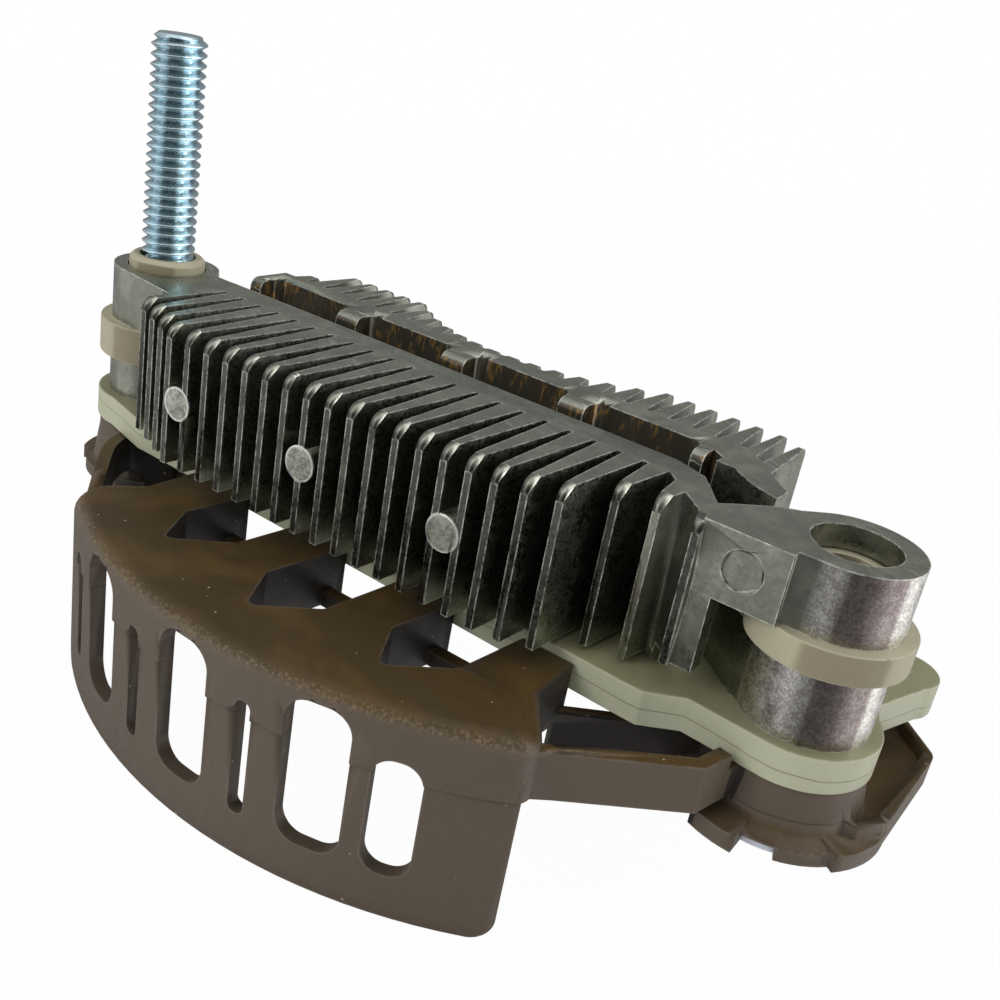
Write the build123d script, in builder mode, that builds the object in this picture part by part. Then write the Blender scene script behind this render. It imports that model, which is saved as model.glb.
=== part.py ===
from build123d import *
import os
from math import cos, radians, sin, sqrt

os.makedirs("parts", exist_ok=True)

# Rectifier assembly of a car alternator. Lengths are in millimetres.
# The origin is on the stud's axis, level with the top of both heat sinks.
# X runs along the heat sinks to the second stack, and the guard faces -Y.

# The two stacks of ears, bushes and bosses
stack_distance = 112.26
ear_radius = 7.8
left_upper_ear_height = 8.2
right_upper_ear_height = 8.6
left_flange_thickness = 5.4
right_flange_thickness = 3.7
left_plate_gap = 0.1
right_plate_drop = 2.0
flange_radius = 9.42
mounting_hole_radius = 5.13
fit_gap = 0.1
loose_gap = 0.25
cut_reach = 1.0
level_tolerance = 0.01
left_ear_join = (0.55, 0.8)
right_ear_join = (0.68, 0.73)
right_ear_waist = 0.4
lower_ear_joins = ((-0.35, 0.9), (0.8, 0.5))
lower_arm_join = -0.5
lower_arm_end = 0.9

# Threaded stud, drawn at its thread's outer diameter
stud_radius = 3.97
stud_rise = 33.7
stud_shank_radius = 3.5
stud_tip_chamfer = 0.7
stud_head_width = 13.0
stud_head_height = 4.5
stud_head_corner = 0.6

# Insulating bushes
collar_radius = 5.62
collar_rise = 1.8
collar_edge = 0.6
right_sleeve_length = 5.6

# Flanged steel sleeve through the second stack
sleeve_bore_radius = 3.1
sleeve_wall = 0.6
sleeve_flange_radius = 10.9
sleeve_flange_thickness = 1.6
sleeve_top_below_bush = 1.0

# Front heat sink
sink_height = 19.7
front_sink_drop = 1.2
end_fin_rise = 1.3
end_fin_rise_x = 95.2
front_core_front_y = -0.7
front_core_back_y = 3.56
fin_count = 24
regular_fin_count = 22
fin_pitch = 3.6
end_fin_pitch = 4.5
last_fin_extra = 1.0
first_fin_x = 12.33
fin_root_width = 2.9
fin_tip_width = 1.0
fin_corner_radius = 1.9
fin_root_overlap = 0.4
least_fin_length = 1.0
front_fin_tip_y = -18.8
left_tip_step = 1.5
left_stepped_fins = 3
right_tip_steps = (-18.1, -16.4, -10.3, -8.9, -9.9)
front_web_bend_x = 89.2
front_web_end = (98.2, -9.1)
front_web_end_x = 101.2
front_web_thickness = 2.6
front_web_bend_land = 1.0
neck_face_y = -9.2
neck_step_x = 108.8
neck_step_depth = 1.2
neck_back_corner = (102.1, 1.6)
neck_back_start = (97.4, -4.0)
left_neck_face_y = -9.3
left_neck_back_y = 3.5
left_neck_inset = 1.0
pad_radius = 2.4
pad_pitch = 23.0
first_pad_x = 25.3
pad_count = 3
pad_z = -10.5
ejector_mark_radius = 2.5
ejector_mark_depth = 0.3
ejector_mark_x = 103.8
ejector_mark_z = -4.2

# Rear heat sink
sink_gap = 8.1
rear_core_thickness = 4.54
rear_core_left_x = 9.3
rear_core_right_x = 89.0
rear_first_fin_x = 12.75
rear_fin_pitch = 3.474
rear_fin_count = 25
rear_tip_y = 26.8
rear_hollow_x = 52.5
rear_hollow_radius = 32.2
rear_hollow_depth = 8.8
rear_end_fin_cuts = {0: 6.5, 24: 2.0}
rear_fin_corner_radius = 1.5
rear_fin_tip_width = 0.7
rear_arm_knee = (97.2, 5.2)
rear_arm_tip = (101.2, 3.7)
rear_arm_thickness = 3.4
rear_arm_back_shift = 2.2
rear_fin_root_overlap = 0.5
rear_arm_foot = (98.5, 1.4)
left_arm_land = 1.4
pocket_count = 4
pocket_length = 16.0
first_pocket_x = 11.5
pocket_pitch = 20.0
pocket_depth = 0.7
pocket_height = 17.6
pocket_corner_radius = 2.0
pocket_wall = 1.8
land_reach = 3.0
land_edge_radius = 1.5

# Rectifier diodes, one pair in each pocket
diode_width = 12.0
diode_height = 11.0
diode_thickness = 2.9
diode_top_z = -5.5
diode_edge = 0.5
lead_width = 2.4
lead_thickness = 0.8
lead_standoff = 0.5
lead_end_below_plate = 2.6

# Moulded terminal plate
plate_thickness = 4.6
plate_front_y = -11.9
plate_rear_y = 22.0
plate_lobe_radius = 9.4
plate_crank_left_x = 12.0
plate_crank_right_x = 95.0
plate_front_run = 2.5
plate_notch_left_x = 97.4
plate_notch_right = (101.7, -8.8)
plate_hook_centre = (117.6, 20.6)
plate_hook_radius = 4.8
plate_waist = (118.6, 9.0)
plate_rear_inset = 4.0

# Phase terminals under the terminal plate
terminal_width = 9.0
terminal_thickness = 1.0
terminal_front_y = 4.4
terminal_rear_y = 20.5
terminal_corner = 1.5
terminal_hole_radius = 1.7

# Guard: an arched cover with a slotted skirt round the fan's edge
guard_radius = 68.67
guard_centre_y = 27.69
guard_top_below_sinks = 2.8
guard_body_depth = 7.8
guard_roof_thickness = 2.4
guard_edge_radius = 2.4
guard_wall = 2.2
guard_inner_y = -12.2
skirt_wall = 1.9
skirt_step = 0.3
skirt_drop = 27.1
skirt_end_angle = 33.8
body_end_angle = 34.9
skirt_corner_radius = 3.0
slot_pitch_angle = 8.1
slot_shift_angle = -1.8
wide_slot_width = 8.3
wide_slot_top_drop = 1.9
wide_slot_bottom_drop = 21.4
wide_slot_corner = 3.0
narrow_slot_width = 2.25
end_slot_width = 6.0
slots_each_side = 3
slot_round_share = 0.45
slot_reach = 1.0
low_slot_top_drop = 5.7
low_slot_bottom_drop = 21.3
window_pitch = 18.4
window_count = 3
window_tip_inset = 8.0
window_tip_shift = -0.9
window_left_shoulder = (-4.1, 7.4)
window_left_foot_x = -2.4
window_corner_radius = 1.0
window_right_shoulder = (6.4, 6.6)
window_right_foot_x = 7.8
window_sill_height = 2.0
window_sill_width = 2.0
window_sill_y = -14.8
panel_thickness = 1.8
panel_top_drop = 1.7
right_panel_path = ((36.3, -28.0), (39.2, -25.3), (51.3, -15.2), (52.2, -11.0))
right_panel_foot = (52.9, -7.2)
left_wall_path = ((-36.1, -27.8), (-42.9, -21.4), (-46.4, -18.0), (-50.6, -13.2), (-52.0, -9.6))
left_wall_foot = (-52.5, -7.2)
left_body_corner = 5.0
right_body_corner = 3.0
roof_end_y = -18.4
roof_end_x = 32.2
rear_panel_start_offset = (31.6, -13.6)
rear_panel_end_offset = (48.4, -0.4)
rear_panel_low_height = 5.5
rear_panel_low_share = 0.45
boss_radius = 9.0
boss_foot_radius = 10.2
boss_bottom_below_sinks = 14.3
boss_shoulder_x = 4.2
base_front_y = 1.8
base_rear_y = 24.0
base_wall = 2.0
base_floor = 2.0
base_rib_height = 3.8
base_rib_width = 1.6
base_window_size = (7.0, 6.0)
tray_reach = 12.9
tray_front_reach = 10.7
tray_front_y = -3.6
tray_side_y = (0.6, 18.6)
tray_rear_reach = 6.2
tray_rear_y = 25.6
tray_inner_reach = -7.0
tray_corner_radius = 2.6
tray_rim_height = 3.8
tray_rim_width = 1.3
tray_floor = 2.8
lip_radius = 12.1
lip_height = 2.0
notch_angles = (-88.0, -68.0)
left_lip_radius = 11.0
left_lip_angles = (-130.0, -20.0)
front_tab_radius = 13.8
front_tab_angles = (-113.0, -88.0)
side_tab_radius = 13.0
left_side_tab_radius = 11.7
side_tab_angles = (-38.0, 5.0)
tab_height = 2.2

# Levels that follow from the stacks
left_flange_top = -left_upper_ear_height
left_lower_ear_top = left_flange_top - left_flange_thickness
left_plate_top = -sink_height - left_plate_gap
left_lower_ear_height = left_lower_ear_top - left_plate_top
right_flange_top = -right_upper_ear_height
right_lower_ear_top = right_flange_top - right_flange_thickness
right_plate_top = -sink_height - right_plate_drop
right_lower_ear_height = right_lower_ear_top - right_plate_top
front_sink_bottom = -sink_height - front_sink_drop
left_boss_top = left_plate_top - plate_thickness
right_boss_top = right_plate_top - plate_thickness
guard_top_z = -sink_height - guard_top_below_sinks
guard_base_z = guard_top_z - guard_body_depth
skirt_bottom_z = guard_top_z - skirt_drop
boss_bottom_z = -sink_height - boss_bottom_below_sinks
panel_top_z = guard_top_z - panel_top_drop
sleeve_outer_radius = sleeve_bore_radius + sleeve_wall
rear_core_front_y = front_core_back_y + sink_gap
rear_core_back_y = rear_core_front_y + rear_core_thickness
guard_centre_x = stack_distance / 2
first_pocket_centre_x = first_pocket_x + pocket_length / 2
shaft_hole_radius = stud_radius + fit_gap
sleeve_hole_radius = sleeve_outer_radius + fit_gap


def pocket_centre(index):
    """X of the middle of a diode pocket."""
    return first_pocket_centre_x + index * pocket_pitch


def front_fin_x(index):
    """X of a front fin: even pitch, then a wider pitch at the right end."""
    regular = min(index, regular_fin_count - 1)
    extra = index - regular
    last = last_fin_extra if index == fin_count - 1 else 0.0
    return first_fin_x + regular * fin_pitch + extra * end_fin_pitch + last


def front_tip_y(index):
    """Y of a front fin's tip: stepped back at both ends of the row."""
    from_right = fin_count - 1 - index
    if index < left_stepped_fins:
        return front_fin_tip_y + (left_stepped_fins - index) * left_tip_step
    if from_right < len(right_tip_steps):
        return right_tip_steps[len(right_tip_steps) - 1 - from_right]
    return front_fin_tip_y


def front_root_y(x):
    """Y of the web's front face behind a fin, which slants at the right end."""
    if x < front_web_bend_x:
        return front_core_front_y
    slope = (front_web_end[1] - front_core_front_y) / (front_web_end[0] - front_web_bend_x)
    return front_core_front_y + slope * (x - front_web_bend_x)


def rear_fin_x(index):
    """X of a rear fin."""
    return rear_first_fin_x + index * rear_fin_pitch


def rear_tip(index):
    """Y of a rear fin's tip: level, with a round hollow in the middle of the row."""
    x = rear_fin_x(index)
    hollow_centre_y = rear_tip_y - rear_hollow_depth + rear_hollow_radius
    tip = rear_tip_y
    across = x - rear_hollow_x
    if abs(across) < rear_hollow_radius:
        tip = min(tip, hollow_centre_y - sqrt(rear_hollow_radius**2 - across**2))
    if index in rear_end_fin_cuts:
        tip = tip - rear_end_fin_cuts[index]
    return tip


def plate_top_at(x):
    """Height of the terminal plate's top, which is cranked between its two lobes."""
    share = (x - plate_crank_left_x) / (plate_crank_right_x - plate_crank_left_x)
    share = min(max(share, 0.0), 1.0)
    return left_plate_top + share * (right_plate_top - left_plate_top)


def on_guard_arc(angle, radius):
    """Point of a circle about the guard's centre, with the angle from straight front."""
    return (
        guard_centre_x + radius * sin(radians(angle)),
        guard_centre_y - radius * cos(radians(angle)),
    )


# Front heat sink: one casting with a web, 24 fins and two upper ears
web_back_shift = front_web_thickness / sqrt(2)
with BuildPart() as front_heat_sink:
    with BuildSketch(Plane.XY.offset(front_sink_bottom)):
        Polygon(
            (first_fin_x - fin_root_width / 2, front_core_front_y),
            (front_web_bend_x, front_core_front_y),
            front_web_end,
            (front_web_end_x, front_web_end[1]),
            (front_web_end_x, front_web_end[1] + front_web_thickness),
            (front_web_end[0] + web_back_shift / 2, front_web_end[1] + front_web_thickness),
            (front_web_bend_x + web_back_shift * 2, front_core_back_y - web_back_shift),
            (front_web_bend_x - front_web_bend_land, front_core_back_y),
            (first_fin_x - fin_root_width / 2, front_core_back_y),
            align=None,
        )
    extrude(amount=-front_sink_bottom)
    with BuildSketch(Plane.XY.offset(front_sink_bottom)):
        for fin in range(fin_count):
            fin_x = front_fin_x(fin)
            tip_y = front_tip_y(fin)
            root_y = max(front_root_y(fin_x - fin_root_width / 2), tip_y + least_fin_length)
            root_y = root_y + fin_root_overlap
            Polygon(
                (fin_x - fin_root_width / 2, root_y),
                (fin_x - fin_tip_width / 2, tip_y),
                (fin_x + fin_tip_width / 2, tip_y),
                (fin_x + fin_root_width / 2, root_y),
                align=None,
            )
    extrude(amount=-front_sink_bottom)
    # The underside follows the cranked plate
    with BuildSketch(Plane.XZ.offset(stack_distance)):
        Polygon(
            (-stack_distance, -sink_height),
            (plate_crank_left_x, -sink_height),
            (plate_crank_right_x, front_sink_bottom),
            (end_fin_rise_x, -sink_height + end_fin_rise),
            (stack_distance, -sink_height + end_fin_rise),
            (stack_distance, 2 * front_sink_bottom),
            (-stack_distance, 2 * front_sink_bottom),
            align=None,
        )
    extrude(amount=-2 * stack_distance, mode=Mode.SUBTRACT)
    # Round off each fin's upper front corner
    for fin in range(fin_count):
        tip_y = front_tip_y(fin)
        round_y = tip_y + fin_corner_radius
        with BuildSketch(Plane.YZ.offset(front_fin_x(fin) - fin_root_width / 2)):
            with BuildLine():
                RadiusArc((round_y, 0), (tip_y, -fin_corner_radius), -fin_corner_radius)
                Polyline(
                    (tip_y, -fin_corner_radius),
                    (tip_y - cut_reach, -fin_corner_radius),
                    (tip_y - cut_reach, cut_reach),
                    (round_y, cut_reach),
                    (round_y, 0),
                )
            make_face()
    extrude(amount=fin_root_width, mode=Mode.SUBTRACT)
    with BuildSketch(Plane.XZ):
        for pad in range(pad_count):
            with Locations((first_pad_x + pad * pad_pitch, pad_z)):
                Circle(pad_radius)
    extrude(amount=-front_fin_tip_y)
    # Left ear and its neck
    with BuildSketch(Plane.XY.offset(-left_upper_ear_height)):
        Circle(ear_radius)
        Polygon(
            (0.0, -ear_radius),
            (first_fin_x - fin_root_width / 2, left_neck_face_y),
            (first_fin_x, left_neck_face_y),
            (first_fin_x, left_neck_back_y),
            (ear_radius - left_neck_inset, left_neck_back_y),
            (left_ear_join[0] * ear_radius, left_ear_join[1] * ear_radius),
            (0.0, ear_radius),
            align=None,
        )
    extrude(amount=left_upper_ear_height)
    # Right ear and its neck, with a small step in the front face
    with BuildSketch(Plane.XY.offset(-right_upper_ear_height)):
        with Locations((stack_distance, 0)):
            Circle(ear_radius)
        Polygon(
            (front_web_end[0], neck_face_y),
            (neck_step_x, neck_face_y),
            (neck_step_x, neck_face_y + neck_step_depth),
            (stack_distance, -ear_radius),
            (stack_distance, ear_radius),
            (stack_distance - right_ear_join[0] * ear_radius, right_ear_join[1] * ear_radius),
            (stack_distance - ear_radius, right_ear_waist * ear_radius),
            neck_back_corner,
            neck_back_start,
            align=None,
        )
    extrude(amount=right_upper_ear_height)
    # Bores and the ejector mark
    Cylinder(collar_radius + loose_gap, 3 * sink_height, mode=Mode.SUBTRACT)
    with Locations((stack_distance, 0, 0)):
        Cylinder(mounting_hole_radius, 3 * sink_height, mode=Mode.SUBTRACT)
    with BuildSketch(Plane.XZ.offset(-neck_face_y)):
        with Locations((ejector_mark_x, ejector_mark_z)):
            Circle(ejector_mark_radius)
    extrude(amount=-ejector_mark_depth, mode=Mode.SUBTRACT)
front_heat_sink.part.label = "front_heat_sink"
export_step(front_heat_sink.part, "parts/front_heat_sink.step")

# Rear heat sink: web, fins to the rear, pockets in front and two lower ears
with BuildPart() as rear_heat_sink:
    with BuildSketch(Plane.XY.offset(-sink_height)):
        Polygon(
            (rear_core_left_x, rear_core_front_y),
            (rear_core_right_x, rear_core_front_y),
            rear_arm_knee,
            rear_arm_tip,
            (rear_arm_tip[0], rear_arm_tip[1] + rear_arm_thickness),
            (rear_arm_knee[0] + rear_arm_back_shift, rear_arm_knee[1] + rear_arm_thickness),
            (rear_core_right_x + rear_arm_thickness, rear_core_back_y),
            (rear_core_left_x, rear_core_back_y),
            align=None,
        )
    extrude(amount=sink_height)
    with BuildSketch(Plane.XY.offset(-sink_height)):
        for fin in range(rear_fin_count):
            fin_x = rear_fin_x(fin)
            root_y = rear_core_back_y - rear_fin_root_overlap
            if fin_x > rear_core_right_x + rear_arm_thickness:
                root_y = rear_arm_knee[1] + rear_arm_thickness - rear_fin_root_overlap
            Polygon(
                (fin_x - fin_root_width / 2, root_y),
                (fin_x + fin_root_width / 2, root_y),
                (fin_x + rear_fin_tip_width / 2, rear_tip(fin)),
                (fin_x - rear_fin_tip_width / 2, rear_tip(fin)),
                align=None,
            )
    extrude(amount=sink_height)
    # Round off each fin's upper rear corner
    for fin in range(rear_fin_count):
        tip_y = rear_tip(fin)
        round_y = tip_y - rear_fin_corner_radius
        with BuildSketch(Plane.YZ.offset(rear_fin_x(fin) - fin_root_width / 2)):
            with BuildLine():
                RadiusArc((round_y, 0), (tip_y, -rear_fin_corner_radius), rear_fin_corner_radius)
                Polyline(
                    (tip_y, -rear_fin_corner_radius),
                    (tip_y + cut_reach, -rear_fin_corner_radius),
                    (tip_y + cut_reach, cut_reach),
                    (round_y, cut_reach),
                    (round_y, 0),
                )
            make_face()
    extrude(amount=fin_root_width, mode=Mode.SUBTRACT)
    # Lower ear under the stud's bush, with its arm to the web
    with BuildSketch(Plane.XY.offset(left_plate_top)):
        Circle(ear_radius)
        Polygon(
            *((across * ear_radius, along * ear_radius) for across, along in lower_ear_joins),
            (rear_core_left_x + left_arm_land, rear_core_front_y),
            (rear_core_left_x + left_arm_land, rear_core_back_y),
            (rear_core_left_x, rear_core_back_y),
            align=None,
        )
    extrude(amount=left_lower_ear_height)
    # Lower ear of the second stack, with its arm
    with BuildSketch(Plane.XY.offset(right_plate_top)):
        with Locations((stack_distance, 0)):
            Circle(ear_radius)
        Polygon(
            rear_arm_knee,
            rear_arm_foot,
            (stack_distance - ear_radius, lower_arm_join * ear_radius),
            (stack_distance, -lower_arm_end * ear_radius),
            (stack_distance, lower_arm_end * ear_radius),
            (stack_distance - ear_radius, rear_arm_tip[1] + rear_arm_thickness),
            (rear_core_right_x + 2 * rear_arm_thickness, rear_core_back_y),
            align=None,
        )
    extrude(amount=right_lower_ear_height)
    # Lands between the diode pockets, rounded along their upper front edge
    land_front_y = rear_core_front_y - land_reach
    lands_end_x = first_pocket_x + (pocket_count - 1) * pocket_pitch + pocket_length + pocket_wall
    with BuildSketch(Plane.YZ.offset(rear_core_left_x)):
        with BuildLine():
            RadiusArc((land_front_y, -land_edge_radius), (land_front_y + land_edge_radius, 0), land_edge_radius)
            Polyline(
                (land_front_y + land_edge_radius, 0),
                (rear_core_back_y, 0),
                (rear_core_back_y, -pocket_height),
                (land_front_y, -pocket_height),
                (land_front_y, -land_edge_radius),
            )
        make_face()
    extrude(amount=lands_end_x - rear_core_left_x)
    # Diode pockets, open at the top and in front, with round inner corners
    with BuildSketch(Plane.XY.offset(-pocket_height)):
        for pocket in range(pocket_count):
            with Locations((pocket_centre(pocket), land_front_y)):
                RectangleRounded(pocket_length, 2 * (land_reach + pocket_depth), pocket_corner_radius)
    extrude(amount=pocket_height, mode=Mode.SUBTRACT)
    Cylinder(shaft_hole_radius, 3 * sink_height, mode=Mode.SUBTRACT)
    with Locations((stack_distance, 0, 0)):
        Cylinder(sleeve_hole_radius, 3 * sink_height, mode=Mode.SUBTRACT)
rear_heat_sink.part.label = "rear_heat_sink"
export_step(rear_heat_sink.part, "parts/rear_heat_sink.step")

# Output stud, with a hexagonal head under the guard's boss
with BuildPart() as output_stud:
    with BuildSketch(Plane.XY.offset(boss_bottom_z)):
        Circle(stud_shank_radius)
    extrude(amount=collar_rise - boss_bottom_z)
    with BuildSketch(Plane.XY.offset(collar_rise)):
        Circle(stud_radius)
    extrude(amount=stud_rise - collar_rise)
    chamfer(output_stud.edges().group_by(Axis.Z)[-1], length=stud_tip_chamfer)
    with BuildSketch(Plane.XY.offset(boss_bottom_z - stud_head_height)):
        RegularPolygon(stud_head_width / 2, 6, major_radius=False)
    extrude(amount=stud_head_height)
    head_edges = output_stud.edges().group_by(Axis.Z)[0]
    chamfer(head_edges, length=stud_head_corner)
output_stud.part.label = "output_stud"
export_step(output_stud.part, "parts/output_stud.step")

# Left insulating bush: a flange between the ears and a sleeve that shows as a collar
with BuildPart() as left_insulating_bush:
    with BuildSketch(Plane.XY.offset(left_lower_ear_top)):
        Circle(flange_radius)
    extrude(amount=left_flange_thickness)
    with BuildSketch(Plane.XY.offset(left_flange_top)):
        Circle(collar_radius)
    extrude(amount=left_upper_ear_height + collar_rise)
    chamfer(left_insulating_bush.edges().group_by(Axis.Z)[-1], length=collar_edge)
    Cylinder(shaft_hole_radius, 3 * sink_height, mode=Mode.SUBTRACT)
left_insulating_bush.part.label = "left_insulating_bush"
export_step(left_insulating_bush.part, "parts/left_insulating_bush.step")

# Right insulating bush: its sleeve stands inside the upper ear's bore
with BuildPart() as right_insulating_bush:
    with BuildSketch(Plane.XY.offset(right_lower_ear_top)):
        with Locations((stack_distance, 0)):
            Circle(flange_radius)
    extrude(amount=right_flange_thickness)
    with BuildSketch(Plane.XY.offset(right_flange_top)):
        with Locations((stack_distance, 0)):
            Circle(mounting_hole_radius - fit_gap)
    extrude(amount=right_sleeve_length)
    with Locations((stack_distance, 0, 0)):
        Cylinder(sleeve_hole_radius, 3 * sink_height, mode=Mode.SUBTRACT)
right_insulating_bush.part.label = "right_insulating_bush"
export_step(right_insulating_bush.part, "parts/right_insulating_bush.step")

# Flanged sleeve: its flange sits in the guard's boss and its tube lines the bush
sleeve_top_z = right_flange_top + right_sleeve_length - sleeve_top_below_bush
with BuildPart() as mounting_sleeve:
    with BuildSketch(Plane.XY.offset(boss_bottom_z)):
        with Locations((stack_distance, 0)):
            Circle(sleeve_flange_radius)
    extrude(amount=sleeve_flange_thickness)
    with BuildSketch(Plane.XY.offset(boss_bottom_z)):
        with Locations((stack_distance, 0)):
            Circle(sleeve_outer_radius)
    extrude(amount=sleeve_top_z - boss_bottom_z)
    chamfer(mounting_sleeve.edges().group_by(Axis.Z)[-1], length=sleeve_wall / 2)
    with Locations((stack_distance, 0, 0)):
        Cylinder(sleeve_bore_radius, 4 * sink_height, mode=Mode.SUBTRACT)
mounting_sleeve.part.label = "mounting_sleeve"
export_step(mounting_sleeve.part, "parts/mounting_sleeve.step")

# Terminal plate: a cranked moulded slab under both heat sinks
lead_y_front = front_core_back_y + diode_thickness + lead_standoff
lead_y_rear = rear_core_front_y + pocket_depth - diode_thickness - lead_standoff
plate_reach = stack_distance + 4 * plate_lobe_radius
with BuildPart() as terminal_plate:
    with BuildSketch(Plane.XY.offset(2 * right_boss_top)):
        Circle(plate_lobe_radius)
        with Locations((stack_distance, 0)):
            Circle(plate_lobe_radius)
        with Locations(plate_hook_centre):
            Circle(plate_hook_radius)
        Polygon(
            (0.0, -plate_lobe_radius),
            (plate_crank_left_x - plate_front_run, plate_front_y),
            (plate_notch_left_x, plate_front_y),
            plate_notch_right,
            (stack_distance, -plate_lobe_radius),
            (stack_distance + plate_lobe_radius, 0.0),
            plate_waist,
            (plate_hook_centre[0] + plate_hook_radius, plate_hook_centre[1]),
            (plate_hook_centre[0], plate_hook_centre[1] + plate_hook_radius),
            (stack_distance - plate_rear_inset, plate_rear_y),
            (plate_lobe_radius / 2, plate_rear_y),
            (-plate_lobe_radius, 0.0),
            align=None,
        )
    extrude(amount=-3 * right_boss_top)
    with BuildSketch(Plane.XZ.offset(plate_reach)):
        Polygon(
            (-plate_reach, left_plate_top),
            (plate_crank_left_x, left_plate_top),
            (plate_crank_right_x, right_plate_top),
            (plate_reach + stack_distance, right_plate_top),
            (plate_reach + stack_distance, right_boss_top),
            (plate_crank_right_x, right_boss_top),
            (plate_crank_left_x, left_boss_top),
            (-plate_reach, left_boss_top),
            align=None,
        )
    extrude(amount=-2 * plate_reach, mode=Mode.INTERSECT)
    Cylinder(shaft_hole_radius, 4 * sink_height, mode=Mode.SUBTRACT)
    with Locations((stack_distance, 0, 0)):
        Cylinder(sleeve_hole_radius, 4 * sink_height, mode=Mode.SUBTRACT)
    with BuildSketch(Plane.XY.offset(2 * right_boss_top)):
        for pocket in range(pocket_count):
            for lead_y in (lead_y_front, lead_y_rear):
                with Locations((pocket_centre(pocket), lead_y)):
                    Rectangle(lead_width + 2 * fit_gap, lead_thickness + 2 * fit_gap)
    extrude(amount=-3 * right_boss_top, mode=Mode.SUBTRACT)
terminal_plate.part.label = "terminal_plate"
export_step(terminal_plate.part, "parts/terminal_plate.step")

# Rectifier diodes: a flat package on each sink and a strip lead down through the plate
for pocket in range(pocket_count):
    centre_x = pocket_centre(pocket)
    lead_end_z = plate_top_at(centre_x) - plate_thickness - lead_end_below_plate
    diode_centre_z = diode_top_z - diode_height / 2
    diode_sides = {
        "negative": (front_core_back_y, 1, lead_y_front),
        "positive": (rear_core_front_y + pocket_depth, -1, lead_y_rear),
    }
    for side, (seat_y, way, lead_y) in diode_sides.items():
        with BuildPart() as diode:
            with BuildSketch(Plane.XZ.offset(-seat_y)):
                with Locations((centre_x, diode_centre_z)):
                    Rectangle(diode_width, diode_height)
            extrude(amount=-way * diode_thickness)
            lead_side = Axis.Y if way > 0 else -Axis.Y
            chamfer(diode.faces().sort_by(lead_side)[-1].edges(), length=diode_edge)
            lead_back_y = lead_y + way * lead_thickness / 2
            inner_y = seat_y + way * (diode_thickness - diode_edge)
            with BuildSketch(Plane.YZ.offset(centre_x)):
                Polygon(
                    (inner_y, diode_centre_z + lead_thickness / 2),
                    (lead_back_y, diode_centre_z + lead_thickness / 2),
                    (lead_back_y, lead_end_z),
                    (lead_y - way * lead_thickness / 2, lead_end_z),
                    (lead_y - way * lead_thickness / 2, diode_centre_z - lead_thickness / 2),
                    (inner_y, diode_centre_z - lead_thickness / 2),
                    align=None,
                )
            extrude(amount=lead_width / 2, both=True)
        diode_name = f"{side}_diode_{pocket + 1}"
        diode.part.label = diode_name
        export_step(diode.part, f"parts/{diode_name}.step")

# Phase terminals: flat copper straps that join each pair of leads under the plate
for pocket in range(pocket_count):
    centre_x = pocket_centre(pocket)
    lowest_z = min(plate_top_at(centre_x - terminal_width / 2), plate_top_at(centre_x + terminal_width / 2))
    strap_top_z = lowest_z - plate_thickness
    strap_length = terminal_rear_y - terminal_front_y
    with BuildPart() as phase_terminal:
        with BuildSketch(Plane.XY.offset(strap_top_z - terminal_thickness)) as strap:
            with Locations((centre_x, terminal_front_y + strap_length / 2)):
                Rectangle(terminal_width, strap_length)
            chamfer(strap.vertices(), length=terminal_corner)
            with Locations((centre_x, terminal_rear_y - terminal_width / 2)):
                Circle(terminal_hole_radius, mode=Mode.SUBTRACT)
            for lead_y in (lead_y_front, lead_y_rear):
                with Locations((centre_x, lead_y)):
                    Rectangle(lead_width + 2 * fit_gap, lead_thickness + 2 * fit_gap, mode=Mode.SUBTRACT)
        extrude(amount=terminal_thickness)
    terminal_name = f"phase_terminal_{pocket + 1}"
    phase_terminal.part.label = terminal_name
    export_step(phase_terminal.part, f"parts/{terminal_name}.step")

# Guard: the arched body, windows between its fingers, and the slotted skirt
body_left = on_guard_arc(-body_end_angle, guard_radius)
body_right = on_guard_arc(body_end_angle, guard_radius)
body_front = on_guard_arc(0.0, guard_radius)
with BuildSketch() as roof_outline:
    with BuildLine():
        ThreePointArc(body_left, body_front, body_right)
        Polyline(
            body_right,
            (guard_centre_x + roof_end_x, roof_end_y),
            (guard_centre_x + roof_end_x, guard_inner_y),
            (guard_centre_x - roof_end_x, guard_inner_y),
            (guard_centre_x - roof_end_x, roof_end_y),
            body_left,
        )
    make_face()
    fillet(roof_outline.vertices().group_by(Axis.X)[0], radius=left_body_corner)
    fillet(roof_outline.vertices().group_by(Axis.X)[-1], radius=right_body_corner)

window_tips = []
for window in range(window_count):
    tip_across = window_tip_shift + (window - (window_count - 1) / 2) * window_pitch
    tip_radius = guard_radius - window_tip_inset
    window_tips.append((guard_centre_x + tip_across, guard_centre_y - sqrt(tip_radius**2 - tip_across**2)))

with BuildSketch() as window_outlines:
    for tip_x, tip_y in window_tips:
        Polygon(
            (tip_x, tip_y),
            (tip_x + window_right_shoulder[0], tip_y + window_right_shoulder[1]),
            (tip_x + window_right_foot_x, guard_inner_y + 2 * guard_wall),
            (tip_x + window_left_foot_x, guard_inner_y + 2 * guard_wall),
            (tip_x + window_left_shoulder[0], tip_y + window_left_shoulder[1]),
            align=None,
        )
    fillet(window_outlines.vertices(), radius=window_corner_radius)

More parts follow.
